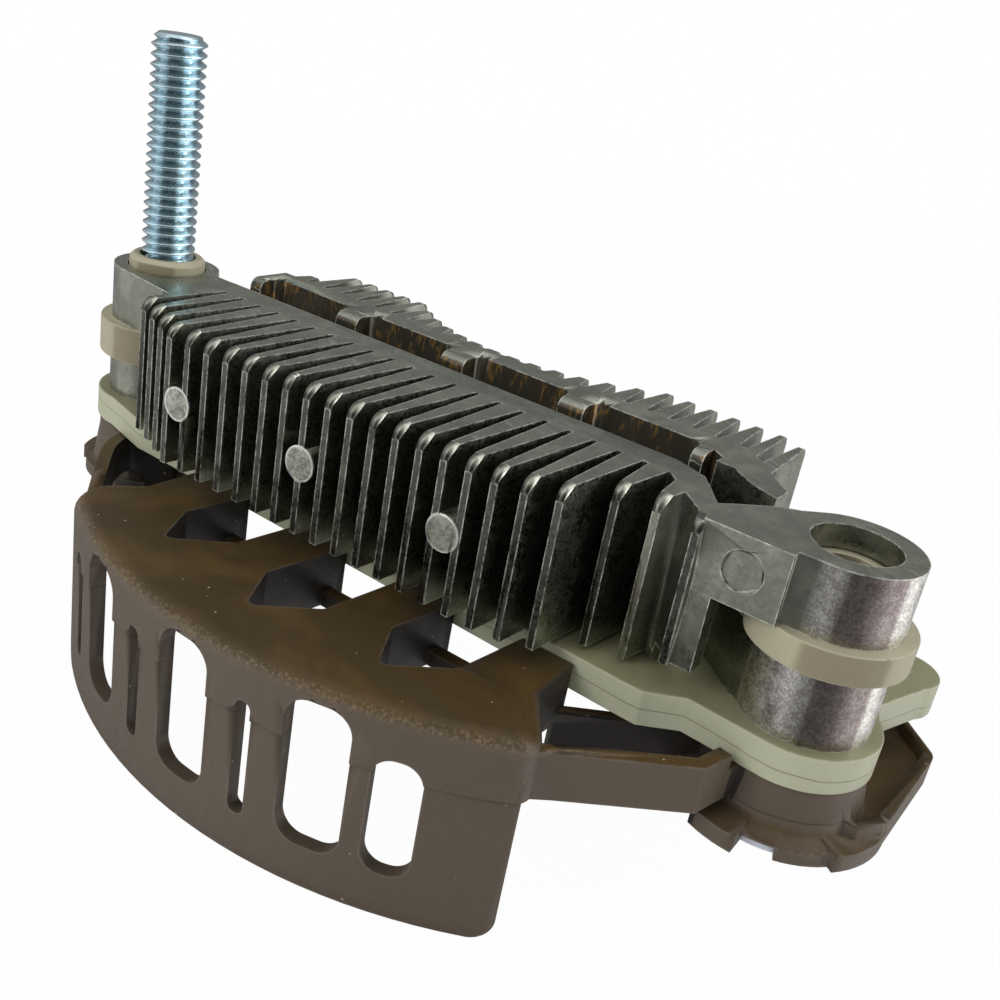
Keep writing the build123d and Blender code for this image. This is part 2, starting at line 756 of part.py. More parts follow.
with BuildPart() as guard:
    with BuildSketch(Plane.XY.offset(guard_base_z)):
        add(roof_outline.sketch)
    extrude(amount=guard_body_depth)
    fillet(guard.edges().filter_by(GeomType.CIRCLE).group_by(Axis.Z)[-1], radius=guard_edge_radius)
    # Hollow the body from below, leaving walls round its edge and its windows
    with BuildSketch(Plane.XY.offset(guard_base_z)):
        offset(roof_outline.sketch, amount=-guard_wall)
        offset(window_outlines.sketch, amount=guard_wall, mode=Mode.SUBTRACT)
    extrude(amount=guard_body_depth - guard_roof_thickness, mode=Mode.SUBTRACT)
    with BuildSketch(Plane.XY.offset(guard_base_z)):
        add(window_outlines.sketch)
    extrude(amount=guard_body_depth, mode=Mode.SUBTRACT)
    # A low sill crosses the foot of each window
    with BuildSketch(Plane.XY.offset(guard_base_z)):
        for tip_x, tip_y in window_tips:
            sill_centre_x = tip_x + (window_left_foot_x + window_right_foot_x) / 2
            sill_length = window_right_foot_x - window_left_foot_x + guard_wall
            with Locations((sill_centre_x, window_sill_y)):
                Rectangle(sill_length, window_sill_width)
    extrude(amount=window_sill_height)
    # Skirt: a curved wall with square ends
    skirt_outer_radius = guard_radius - skirt_step
    skirt_far = 2 * guard_radius
    with BuildSketch(Plane.XY.offset(skirt_bottom_z)):
        with Locations((guard_centre_x, guard_centre_y)):
            Circle(skirt_outer_radius)
            Circle(skirt_outer_radius - skirt_wall, mode=Mode.SUBTRACT)
        Polygon(
            (guard_centre_x, guard_centre_y),
            on_guard_arc(-skirt_end_angle, skirt_far),
            on_guard_arc(skirt_end_angle, skirt_far),
            align=None,
            mode=Mode.INTERSECT,
        )
    extrude(amount=guard_base_z + guard_roof_thickness - skirt_bottom_z)
    end_edges = guard.edges().filter_by(lambda edge: edge.center().Z < skirt_bottom_z + level_tolerance)
    end_corners = end_edges.filter_by(GeomType.LINE)
    fillet(end_corners, radius=skirt_corner_radius)
    # Ventilation slots, wide and narrow in turn
    slot_depth = slot_reach + skirt_step + skirt_wall + guard_wall / 3
    for slot in range(-slots_each_side, slots_each_side + 1):
        angle = slot_shift_angle + slot * slot_pitch_angle
        is_end = slot == slots_each_side
        is_wide = slot % 2 == 0
        width = wide_slot_width if is_wide else narrow_slot_width
        width = end_slot_width if is_end else width
        top_z = guard_top_z - (wide_slot_top_drop if is_wide else low_slot_top_drop)
        bottom_z = guard_top_z - (wide_slot_bottom_drop if is_wide else low_slot_bottom_drop)
        corner = min(wide_slot_corner, width * slot_round_share)
        slot_plane = Plane(
            origin=(*on_guard_arc(angle, guard_radius + slot_reach), (top_z + bottom_z) / 2),
            x_dir=(cos(radians(angle)), sin(radians(angle)), 0),
            z_dir=(sin(radians(angle)), -cos(radians(angle)), 0),
        )
        with BuildSketch(slot_plane):
            RectangleRounded(width, top_z - bottom_z, corner)
    extrude(amount=-slot_depth, mode=Mode.SUBTRACT)
    # Right front panel and curved left wall, from inside the body's ends back to the bosses
    with BuildSketch(Plane.XY.offset(guard_base_z)):
        with BuildLine():
            Polyline(*((guard_centre_x + x, y) for x, y in right_panel_path))
        trace(line_width=panel_thickness)
    extrude(amount=panel_top_z - guard_base_z)
    with BuildSketch(Plane.XY.offset(guard_base_z)):
        with BuildLine():
            Spline(*((guard_centre_x + x, y) for x, y in left_wall_path))
        trace(line_width=panel_thickness)
    extrude(amount=left_boss_top - fit_gap - guard_base_z)
    # Rear panels close the body's ends below the terminal plate
    for way in (-1, 1):
        start = Vector(guard_centre_x + way * rear_panel_start_offset[0], rear_panel_start_offset[1])
        end = Vector(guard_centre_x + way * rear_panel_end_offset[0], rear_panel_end_offset[1])
        middle = start + (end - start) * rear_panel_low_share
        with BuildSketch(Plane.XY.offset(boss_bottom_z)):
            with BuildLine():
                Line(start, end)
            trace(line_width=panel_thickness)
        extrude(amount=rear_panel_low_height)
        with BuildSketch(Plane.XY.offset(boss_bottom_z)):
            with BuildLine():
                Line(middle, end)
            trace(line_width=panel_thickness)
        extrude(amount=right_boss_top - boss_bottom_z)
    # Tray with a raised rim beside the right boss
    with BuildSketch(Plane.XY.offset(boss_bottom_z)) as tray_outline:
        Polygon(
            (stack_distance, tray_front_y),
            (stack_distance + tray_front_reach, tray_front_y),
            (stack_distance + tray_reach, tray_side_y[0]),
            (stack_distance + tray_reach, tray_side_y[1]),
            (stack_distance + tray_rear_reach, tray_rear_y),
            (stack_distance + tray_inner_reach, tray_rear_y),
            (stack_distance + tray_inner_reach, 0),
            align=None,
        )
        fillet(tray_outline.vertices().group_by(Axis.X)[-1], radius=tray_corner_radius)
    extrude(amount=tray_rim_height)
    with BuildSketch(Plane.XY.offset(boss_bottom_z + tray_floor)):
        offset(tray_outline.sketch, amount=-tray_rim_width)
    extrude(amount=tray_rim_height, mode=Mode.SUBTRACT)
    # Bosses under the two stacks, widening towards the foot
    for stack_x, boss_top in ((0.0, left_boss_top), (stack_distance, right_boss_top)):
        way = 1 if stack_x > 0 else -1
        with BuildSketch(Plane.XY.offset(boss_bottom_z)):
            Polygon(
                (stack_x, -boss_radius),
                (stack_x - way * boss_shoulder_x, -boss_radius),
                (stack_x - way * boss_radius, -boss_radius / 2),
                (stack_x - way * boss_radius, base_rear_y),
                (stack_x, base_rear_y),
                align=None,
            )
        extrude(amount=right_boss_top - boss_bottom_z)
        with BuildSketch(Plane.XY.offset(boss_bottom_z)):
            with Locations((stack_x, 0)):
                Circle(boss_radius)
        extrude(amount=boss_top - boss_bottom_z)
        with Locations((stack_x, 0, boss_bottom_z)):
            Cone(
                boss_foot_radius,
                boss_radius,
                right_boss_top - boss_bottom_z,
                align=(Align.CENTER, Align.CENTER, Align.MIN),
            )
        # Foot of the front panel below the plate's lobe
        path, foot = (left_wall_path, left_wall_foot) if way < 0 else (right_panel_path, right_panel_foot)
        with BuildSketch(Plane.XY.offset(guard_base_z)):
            with BuildLine():
                Line((guard_centre_x + path[-1][0], path[-1][1]), (guard_centre_x + foot[0], foot[1]))
            trace(line_width=panel_thickness)
        extrude(amount=right_boss_top - guard_base_z)
        # Lip and tabs round the foot
        if way < 0:
            rings = (
                (left_lip_radius, left_lip_angles, lip_height),
                (left_side_tab_radius, side_tab_angles, tab_height),
            )
        else:
            with BuildSketch(Plane.XY.offset(boss_bottom_z)):
                with Locations((stack_x, 0)):
                    Circle(lip_radius)
            extrude(amount=lip_height)
            rings = (
                (front_tab_radius, front_tab_angles, tab_height),
                (side_tab_radius, side_tab_angles, tab_height),
            )
        for ring_radius, (start, end), height in rings:
            middle = (start + end) / 2
            corners = [(stack_x, 0.0)]
            for angle in (start, middle, end):
                corners.append((
                    stack_x + way * 2 * ring_radius * cos(radians(angle)),
                    2 * ring_radius * sin(radians(angle)),
                ))
            with BuildSketch(Plane.XY.offset(boss_bottom_z)):
                with Locations((stack_x, 0)):
                    Circle(ring_radius)
                Polygon(*corners, align=None, mode=Mode.INTERSECT)
            extrude(amount=height)
    # Base under the terminal plate: a shallow box with openings below the terminals
    base_length = stack_distance - 2 * boss_radius + 2 * base_wall
    base_centre_y = (base_front_y + base_rear_y) / 2
    base_width = base_rear_y - base_front_y
    with BuildSketch(Plane.XY.offset(boss_bottom_z)):
        with Locations((guard_centre_x, base_centre_y)):
            Rectangle(base_length, base_width)
    extrude(amount=base_floor)
    with BuildSketch(Plane.XY.offset(boss_bottom_z)):
        for wall_y in (base_front_y + base_wall / 2, base_rear_y - base_wall / 2):
            with Locations((guard_centre_x, wall_y)):
                Rectangle(base_length, base_wall)
    extrude(amount=right_boss_top - boss_bottom_z)
    with BuildSketch(Plane.XY.offset(boss_bottom_z)):
        for pocket in range(pocket_count):
            with Locations((pocket_centre(pocket), terminal_rear_y - terminal_width / 2)):
                Rectangle(*base_window_size)
    extrude(amount=base_floor, mode=Mode.SUBTRACT)
    # Ribs tie the body's fingers to the base
    with BuildSketch(Plane.XY.offset(guard_base_z)):
        for tip_x, tip_y in window_tips:
            rib_length = base_front_y + base_wall / 2 - guard_inner_y + guard_wall / 2
            rib_centre_y = (base_front_y + base_wall / 2 + guard_inner_y - guard_wall / 2) / 2
            with Locations((tip_x + window_right_foot_x + base_rib_width / 2, rib_centre_y)):
                Rectangle(base_rib_width, rib_length)
    extrude(amount=base_rib_height)
    # Seats for the sleeve's flange, the sleeve and the stud
    with BuildSketch(Plane.XY.offset(boss_bottom_z)):
        with Locations((stack_distance, 0)):
            Circle(sleeve_flange_radius + fit_gap)
    extrude(amount=sleeve_flange_thickness, mode=Mode.SUBTRACT)
    notch_corners = [(stack_distance, 0.0)]
    for angle in notch_angles:
        notch_corners.append((
            stack_distance + 2 * lip_radius * cos(radians(angle)),
            2 * lip_radius * sin(radians(angle)),
        ))
    with BuildSketch(Plane.XY.offset(boss_bottom_z)):
        Polygon(*notch_corners, align=None)
    extrude(amount=sleeve_flange_thickness, mode=Mode.SUBTRACT)
    Cylinder(shaft_hole_radius, 4 * sink_height, mode=Mode.SUBTRACT)
    with Locations((stack_distance, 0, 0)):
        Cylinder(sleeve_hole_radius, 4 * sink_height, mode=Mode.SUBTRACT)
guard.part.label = "guard"
export_step(guard.part, "parts/guard.step")
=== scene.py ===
"""Visual model of an alternator's rectifier assembly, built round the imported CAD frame."""
import logging
import math
from dataclasses import dataclass, replace
from enum import Enum
from typing import Callable

import bmesh
import bpy
import numpy as np
from mathutils import Matrix, Vector


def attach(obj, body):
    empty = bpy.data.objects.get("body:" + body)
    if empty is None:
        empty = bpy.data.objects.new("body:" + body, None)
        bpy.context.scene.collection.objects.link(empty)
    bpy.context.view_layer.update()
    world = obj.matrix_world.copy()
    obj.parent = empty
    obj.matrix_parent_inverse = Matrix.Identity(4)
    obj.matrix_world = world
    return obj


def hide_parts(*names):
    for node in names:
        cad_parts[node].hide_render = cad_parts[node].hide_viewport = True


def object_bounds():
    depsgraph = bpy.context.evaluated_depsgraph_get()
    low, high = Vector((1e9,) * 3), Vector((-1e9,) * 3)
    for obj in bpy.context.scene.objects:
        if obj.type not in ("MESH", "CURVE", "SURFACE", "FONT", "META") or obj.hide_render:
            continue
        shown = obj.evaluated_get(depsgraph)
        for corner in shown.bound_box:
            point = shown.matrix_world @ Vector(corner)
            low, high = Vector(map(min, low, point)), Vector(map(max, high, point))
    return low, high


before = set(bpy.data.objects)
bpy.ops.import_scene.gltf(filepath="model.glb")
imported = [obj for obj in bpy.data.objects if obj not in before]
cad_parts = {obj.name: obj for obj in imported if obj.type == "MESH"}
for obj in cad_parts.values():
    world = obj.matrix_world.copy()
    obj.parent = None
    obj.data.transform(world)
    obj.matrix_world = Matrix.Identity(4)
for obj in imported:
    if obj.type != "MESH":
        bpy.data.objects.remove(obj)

CAD_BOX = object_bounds()
MM = 0.001
WELD = 2e-6
FLAT_TURN = math.radians(0.8)
SHARP_TURN = math.radians(36.0)
Colour = tuple[float, float, float]
Node = bpy.types.Node
Socket = bpy.types.NodeSocket
log = logging.getLogger("rectifier")


class Slot(Enum):
    """The record's material slots."""

    CAST = "cast_aluminium"
    ZINC = "zinc_plated_steel"
    BUSH = "beige_insulation"
    PLATE = "cream_moulding"
    GUARD = "brown_moulding"
    DIODE = "diode_case"
    COPPER = "terminal_copper"


@dataclass(frozen=True)
class Lobe:
    """A bright side of the studio as metal mirrors it.

    Attributes:
        azimuth: where its middle is, in degrees from +X.
        edge: the cosine of the angle from the middle at which it starts.
        full: the cosine at which it is at its brightest.
        light: its brightness.
    """

    azimuth: float
    edge: float
    full: float
    light: float


LOBES = (Lobe(25.0, 0.66, 0.92, 1.9), Lobe(-170.0, 0.80, 0.95, 0.5), Lobe(-130.0, 0.80, 0.96, 1.05))


class Graph:
    """A node tree with short calls for the nodes that the finishes share."""

    def __init__(self, tree: bpy.types.NodeTree) -> None:
        """Keep the tree.

        Args:
            tree: the node tree that the calls add to.
        """
        self.tree = tree

    def node(self, kind: str, **settings: object) -> Node:
        """Add a node.

        Args:
            kind: the node's type name.
            settings: properties to set on it.

        Returns:
            The new node.
        """
        made = self.tree.nodes.new(kind)
        for name, value in settings.items():
            setattr(made, name, value)
        return made

    def feed(self, socket: Socket, value: object) -> None:
        """Link a socket or set its plain value.

        Args:
            socket: the input to feed.
            value: an output socket, a number or a tuple.
        """
        if isinstance(value, Socket):
            self.tree.links.new(value, socket)
        elif isinstance(value, tuple) and len(value) == 3 and socket.type == "RGBA":
            socket.default_value = (*value, 1.0)
        else:
            socket.default_value = value

    def math(self, operation: str, *values: object) -> Socket:
        """Add a Math node.

        Args:
            operation: the operation's name.
            values: sockets or numbers, in order.

        Returns:
            The result's socket.
        """
        made = self.node("ShaderNodeMath", operation=operation)
        for socket, value in zip(made.inputs, values):
            self.feed(socket, value)
        return made.outputs[0]

    def times(self, *values: object) -> Socket:
        """Multiply values in order.

        Args:
            values: two or more sockets or numbers.

        Returns:
            The product's socket.
        """
        product = values[0]
        for value in values[1:]:
            product = self.math("MULTIPLY", product, value)
        return product

    def vector(self, operation: str, *values: object) -> Node:
        """Add a Vector Math node.

        Args:
            operation: the operation's name.
            values: sockets or vectors, in order.

        Returns:
            The node, because its result may be a vector or a number.
        """
        made = self.node("ShaderNodeVectorMath", operation=operation)
        for socket, value in zip(made.inputs, values):
            self.feed(socket, value)
        return made

    def mix(self, share: object, first: object, second: object, blend: str = "MIX") -> Socket:
        """Mix two colours.

        Args:
            share: how much of the second colour shows.
            first: the colour at 0.
            second: the colour at 1.
            blend: the blend type.

        Returns:
            The colour's socket.
        """
        made = self.node("ShaderNodeMix", data_type="RGBA", blend_type=blend)
        self.feed(made.inputs[0], share)
        self.feed(made.inputs[6], first)
        self.feed(made.inputs[7], second)
        return made.outputs[2]

    def span(self, value: object, low: float, high: float, to_low: float = 0.0,
             to_high: float = 1.0, smooth: bool = False) -> Socket:
        """Map a value from one range to another, clamped.

        Args:
            value: the socket to map.
            low: the value that gives to_low.
            high: the value that gives to_high.
            to_low: the result at low.
            to_high: the result at high.
            smooth: whether the ends are eased.

        Returns:
            The result's socket.
        """
        made = self.node("ShaderNodeMapRange", interpolation_type="SMOOTHSTEP" if smooth else "LINEAR")
        for socket, number in zip(made.inputs, (value, low, high, to_low, to_high)):
            self.feed(socket, number)
        return made.outputs[0]

    def noise(self, point: object, scale: object, detail: float = 2.0, rough: float = 0.5,
              warp: float = 0.0) -> Socket:
        """Add a Noise Texture.

        Args:
            point: the vector to read it at.
            scale: cells per metre.
            detail: number of octaves.
            rough: strength of the finer octaves.
            warp: distortion.

        Returns:
            The value's socket, about 0.25 to 0.75.
        """
        made = self.node("ShaderNodeTexNoise")
        for name, value in (("Vector", point), ("Scale", scale), ("Detail", detail),
                            ("Roughness", rough), ("Distortion", warp)):
            self.feed(made.inputs[name], value)
        return made.outputs[0]

    def place(self) -> Socket:
        """Return the Object coordinate's socket."""
        return self.node("ShaderNodeTexCoord").outputs["Object"]

    def split(self, vector: object) -> tuple[Socket, ...]:
        """Split a vector into its three parts.

        Args:
            vector: the vector's socket.

        Returns:
            The x, y and z sockets.
        """
        made = self.node("ShaderNodeSeparateXYZ")
        self.feed(made.inputs[0], vector)
        return tuple(made.outputs)

    def face(self, kind: str = "Normal") -> Socket:
        """Return a socket of the Geometry node."""
        return self.node("ShaderNodeNewGeometry").outputs[kind]

    def facing(self, way: Colour) -> Socket:
        """Return the cosine between the surface's normal and a way."""
        return self.vector("DOT_PRODUCT", self.face(), way).outputs["Value"]

    def group(self, tree: bpy.types.NodeTree, **values: object) -> Node:
        """Place a shared effect.

        Args:
            tree: the effect's node group.
            values: its inputs by name.

        Returns:
            The group node.
        """
        made = self.node("ShaderNodeGroup")
        made.node_tree = tree
        for name, value in values.items():
            self.feed(made.inputs[name], value)
        return made

    def mask(self, tree: bpy.types.NodeTree, **values: object) -> Socket:
        """Place a shared effect and return its mask's socket."""
        return self.group(tree, **values).outputs["Mask"]


class Effects:
    """The shared effects, each a shader node group that is built once."""

    def __init__(self) -> None:
        """Build every group."""
        self.grain = self._build("cast grain", self._grain, ("Mask", "Height"), Cell=0.4 * MM, Contrast=1.0)
        self.wear = self._build("edge wear", self._wear, Width=0.4 * MM, Amount=1.0, Cell=2.0 * MM)
        self.stain = self._build("stain", self._stain, Cell=20.0 * MM, Coverage=0.5)
        self.specks = self._build("specks", self._specks, Spacing=2.0 * MM, Size=0.2 * MM, Share=0.4)
        self.scratches = self._build("scratches", self._scratches, Spacing=3.0 * MM, Turn=0.4)
        # painted shade: corners and grooves darkened by how much the near surroundings block
        self.corner_shade = self._build("painted shade in corners", self._corner_shade, Reach=3.0 * MM, Amount=1.0)
        self.seam = self._build("mould seam", self._seam, Level=-30.0 * MM, Slope=0.0, Width=0.1 * MM)
        self.studio = self._build("studio light", self._studio, ("Level",), Way=(0.0, 0.0, 1.0))

    @staticmethod
    def _build(name: str, fill: Callable[[Graph, Node, Node], None], outputs: tuple[str, ...] = ("Mask",),
               **inputs: float | Colour) -> bpy.types.NodeTree:
        """Make a group whose inputs are numbers or vectors and whose outputs are numbers.

        Args:
            name: the group's name.
            fill: adds the nodes between the group's input and output.
            outputs: the outputs' names.
            inputs: the inputs' defaults by name.

        Returns:
            The node group.
        """
        tree = bpy.data.node_groups.new(name, "ShaderNodeTree")
        for label, value in inputs.items():
            kind = "NodeSocketVector" if isinstance(value, tuple) else "NodeSocketFloat"
            socket = tree.interface.new_socket(label, in_out="INPUT", socket_type=kind)
            socket.default_value = value
        for label in outputs:
            tree.interface.new_socket(label, in_out="OUTPUT", socket_type="NodeSocketFloat")
        graph = Graph(tree)
        fill(graph, graph.node("NodeGroupInput"), graph.node("NodeGroupOutput"))
        return tree

    @staticmethod
    def _grain(graph: Graph, given: Node, result: Node) -> None:
        """Cast skin: fine noise on coarser noise.

        Args:
            graph: the group's graph.
            given: its input node.
            result: its output node.
        """
        place = graph.place()
        scale = graph.math("DIVIDE", 1.0, given.outputs["Cell"])
        fine = graph.noise(place, scale, 3.0, 0.65)
        coarse = graph.noise(place, graph.times(scale, 0.23), 2.0, 0.5)
        both = graph.math("ADD", graph.times(fine, 0.7), graph.times(coarse, 0.3))
        sharp = graph.math("MULTIPLY_ADD", graph.math("SUBTRACT", both, 0.5),
                           graph.times(given.outputs["Contrast"], 4.0), 0.5)
        graph.feed(result.inputs["Mask"], graph.span(sharp, 0.0, 1.0))
        graph.feed(result.inputs["Height"], both)

    @staticmethod
    def _wear(graph: Graph, given: Node, result: Node) -> None:
        """Outer edges: where a wide rounding would turn the surface, broken up by noise.

        Args:
            graph: the group's graph.
            given: its input node.
            result: its output node.
        """
        bevel = graph.node("ShaderNodeBevel", samples=4)
        graph.feed(bevel.inputs["Radius"], given.outputs["Width"])
        face = graph.node("ShaderNodeNewGeometry")
        turn = graph.vector("DOT_PRODUCT", bevel.outputs[0], face.outputs["Normal"]).outputs["Value"]
        edge = graph.span(turn, 0.985, 0.86, smooth=True)
        scale = graph.math("DIVIDE", 1.0, given.outputs["Cell"])
        broken = graph.span(graph.noise(graph.place(), scale, 4.0, 0.6), 0.34, 0.56)
        graph.feed(result.inputs["Mask"],
                   graph.times(edge, broken, given.outputs["Amount"]))

    @staticmethod
    def _stain(graph: Graph, given: Node, result: Node) -> None:
        """Soft blotches: warped noise cut at the coverage.

        Args:
            graph: the group's graph.
            given: its input node.
            result: its output node.
        """
        scale = graph.math("DIVIDE", 1.0, given.outputs["Cell"])
        value = graph.noise(graph.place(), scale, 4.0, 0.6, 0.6)
        edge = graph.math("SUBTRACT", 0.85, graph.times(given.outputs["Coverage"], 0.7))
        rise = graph.math("SUBTRACT", value, graph.math("SUBTRACT", edge, 0.12))
        graph.feed(result.inputs["Mask"], graph.span(rise, 0.0, 0.24, smooth=True))

    @staticmethod
    def _specks(graph: Graph, given: Node, result: Node) -> None:
        """Small dots: cells of a Voronoi pattern, of which a share has a dot.

        Args:
            graph: the group's graph.
            given: its input node.
            result: its output node.
        """
        cells = graph.node("ShaderNodeTexVoronoi", feature="F1")
        graph.feed(cells.inputs["Vector"], graph.place())
        graph.feed(cells.inputs["Scale"], graph.math("DIVIDE", 1.0, given.outputs["Spacing"]))
        reach = graph.math("DIVIDE", given.outputs["Size"], given.outputs["Spacing"])
        dot = graph.math("LESS_THAN", cells.outputs["Distance"], reach)
        chosen = graph.math("LESS_THAN", graph.split(cells.outputs["Color"])[0], given.outputs["Share"])
        graph.feed(result.inputs["Mask"], graph.times(dot, chosen))

    @staticmethod
    def _scratches(graph: Graph, given: Node, result: Node) -> None:
        """Hair scratches: the zero line of stretched noise, kept only in patches.

        Args:
            graph: the group's graph.
            given: its input node.
            result: its output node.
        """
        turned = graph.node("ShaderNodeVectorRotate", rotation_type="Z_AXIS")
        graph.feed(turned.inputs["Vector"], graph.place())
        graph.feed(turned.inputs["Angle"], given.outputs["Turn"])
        long = graph.vector("MULTIPLY", turned.outputs[0], (0.03, 1.0, 1.0)).outputs[0]
        scale = graph.math("DIVIDE", 1.0, given.outputs["Spacing"])
        line = graph.math("ABSOLUTE", graph.math("SUBTRACT", graph.noise(long, scale, 1.0), 0.5))
        thin = graph.span(line, 0.012, 0.0)
        patch = graph.span(graph.noise(graph.place(), graph.times(scale, 0.4), 1.0), 0.5, 0.6)
        graph.feed(result.inputs["Mask"], graph.times(thin, patch))

    @staticmethod
    def _corner_shade(graph: Graph, given: Node, result: Node) -> None:
        """Painted shade in corners and grooves: how much of the near surroundings is blocked.

        Args:
            graph: the group's graph.
            given: its input node.
            result: its output node.
        """
        near = graph.node("ShaderNodeAmbientOcclusion", samples=5)
        graph.feed(near.inputs["Distance"], given.outputs["Reach"])
        blocked = graph.math("SUBTRACT", 1.0, near.outputs["AO"])
        graph.feed(result.inputs["Mask"], graph.times(graph.span(blocked, 0.1, 0.95),
                                                      given.outputs["Amount"]))

    @staticmethod
    def _seam(graph: Graph, given: Node, result: Node) -> None:
        """Seam of a mould: a hair line where the height is the level plus the slope times x.

        Args:
            graph: the group's graph.
            given: its input node.
            result: its output node.
        """
        along, _, up = graph.split(graph.place())
        level = graph.math("MULTIPLY_ADD", along, given.outputs["Slope"], given.outputs["Level"])
        wave = graph.times(graph.math("SUBTRACT", graph.noise(graph.place(), 180.0), 0.5), 0.6 * MM)
        off = graph.math("ABSOLUTE", graph.math("SUBTRACT", graph.math("ADD", up, wave), level))
        ratio = graph.math("DIVIDE", off, given.outputs["Width"])
        graph.feed(result.inputs["Mask"], graph.span(ratio, 1.0, 0.4))

    @staticmethod
    def _studio(graph: Graph, given: Node, result: Node) -> None:
        """Brightness of the room as metal mirrors it: the lobes, a fair top, and dark elsewhere.

        Args:
            graph: the group's graph.
            given: its input node.
            result: its output node.
        """
        way = graph.vector("NORMALIZE", given.outputs["Way"]).outputs[0]
        level_way = graph.vector("MULTIPLY", way, (1.0, 1.0, 0.0)).outputs[0]
        level_way = graph.vector("NORMALIZE", level_way).outputs[0]
        _, back, up = graph.split(way)
        above = graph.span(up, 0.5, 0.92, 0.0, 0.75, smooth=True)
        below = graph.span(up, -0.45, -0.05, 0.55, 1.0)
        plain = graph.span(back, -0.6, 0.7, 0.10, 0.26)
        level = graph.math("MAXIMUM", above, plain)
        for lobe in LOBES:
            turn = math.radians(lobe.azimuth)
            toward = (math.cos(turn), math.sin(turn), 0.0)
            near = graph.vector("DOT_PRODUCT", level_way, toward).outputs["Value"]
            share = graph.span(near, lobe.edge, lobe.full, smooth=True)
            level = graph.math("MAXIMUM", level, graph.times(share, lobe.light, below))
        graph.feed(result.inputs["Level"], level)


@dataclass(frozen=True)
class Finish:
    """What every finish has: a name, a base colour and a roughness."""

    name: str
    colour: Colour
    roughness: float

    def start(self) -> tuple[bpy.types.Material, Graph, Node]:
        """Make an empty material with a Principled BSDF.

        Returns:
            The material, its graph and the shader node.
        """
        material = bpy.data.materials.new(self.name)
        material.use_nodes = True
        graph = Graph(material.node_tree)
        shader = material.node_tree.nodes["Principled BSDF"]
        return material, graph, shader

    @staticmethod
    def relief(graph: Graph, shader: Node, height: object, depth: float,
               strength: float = 1.0) -> None:
        """Feed a Bump node into the shader's normal.

        Args:
            graph: the material's graph.
            shader: the shader node.
            height: the height's socket, 0 to 1.
            depth: the height of 1, in metres.
            strength: the bump's strength.
        """
        bump = graph.node("ShaderNodeBump")
        graph.feed(bump.inputs["Height"], height)
        bump.inputs["Distance"].default_value = depth
        bump.inputs["Strength"].default_value = strength
        graph.feed(shader.inputs["Normal"], bump.outputs[0])


@dataclass(frozen=True)
class Skin:
    """The sockets of a casting's skin that its marks change or read.

    Attributes:
        steep: the mask of upright faces.
        grain: the mask of the grain.
        corner_shade: the mask of painted shade in corners.
    """

    base: object
    rough: object
    metallic: object
    height: object
    steep: object
    grain: object
    corner_shade: object


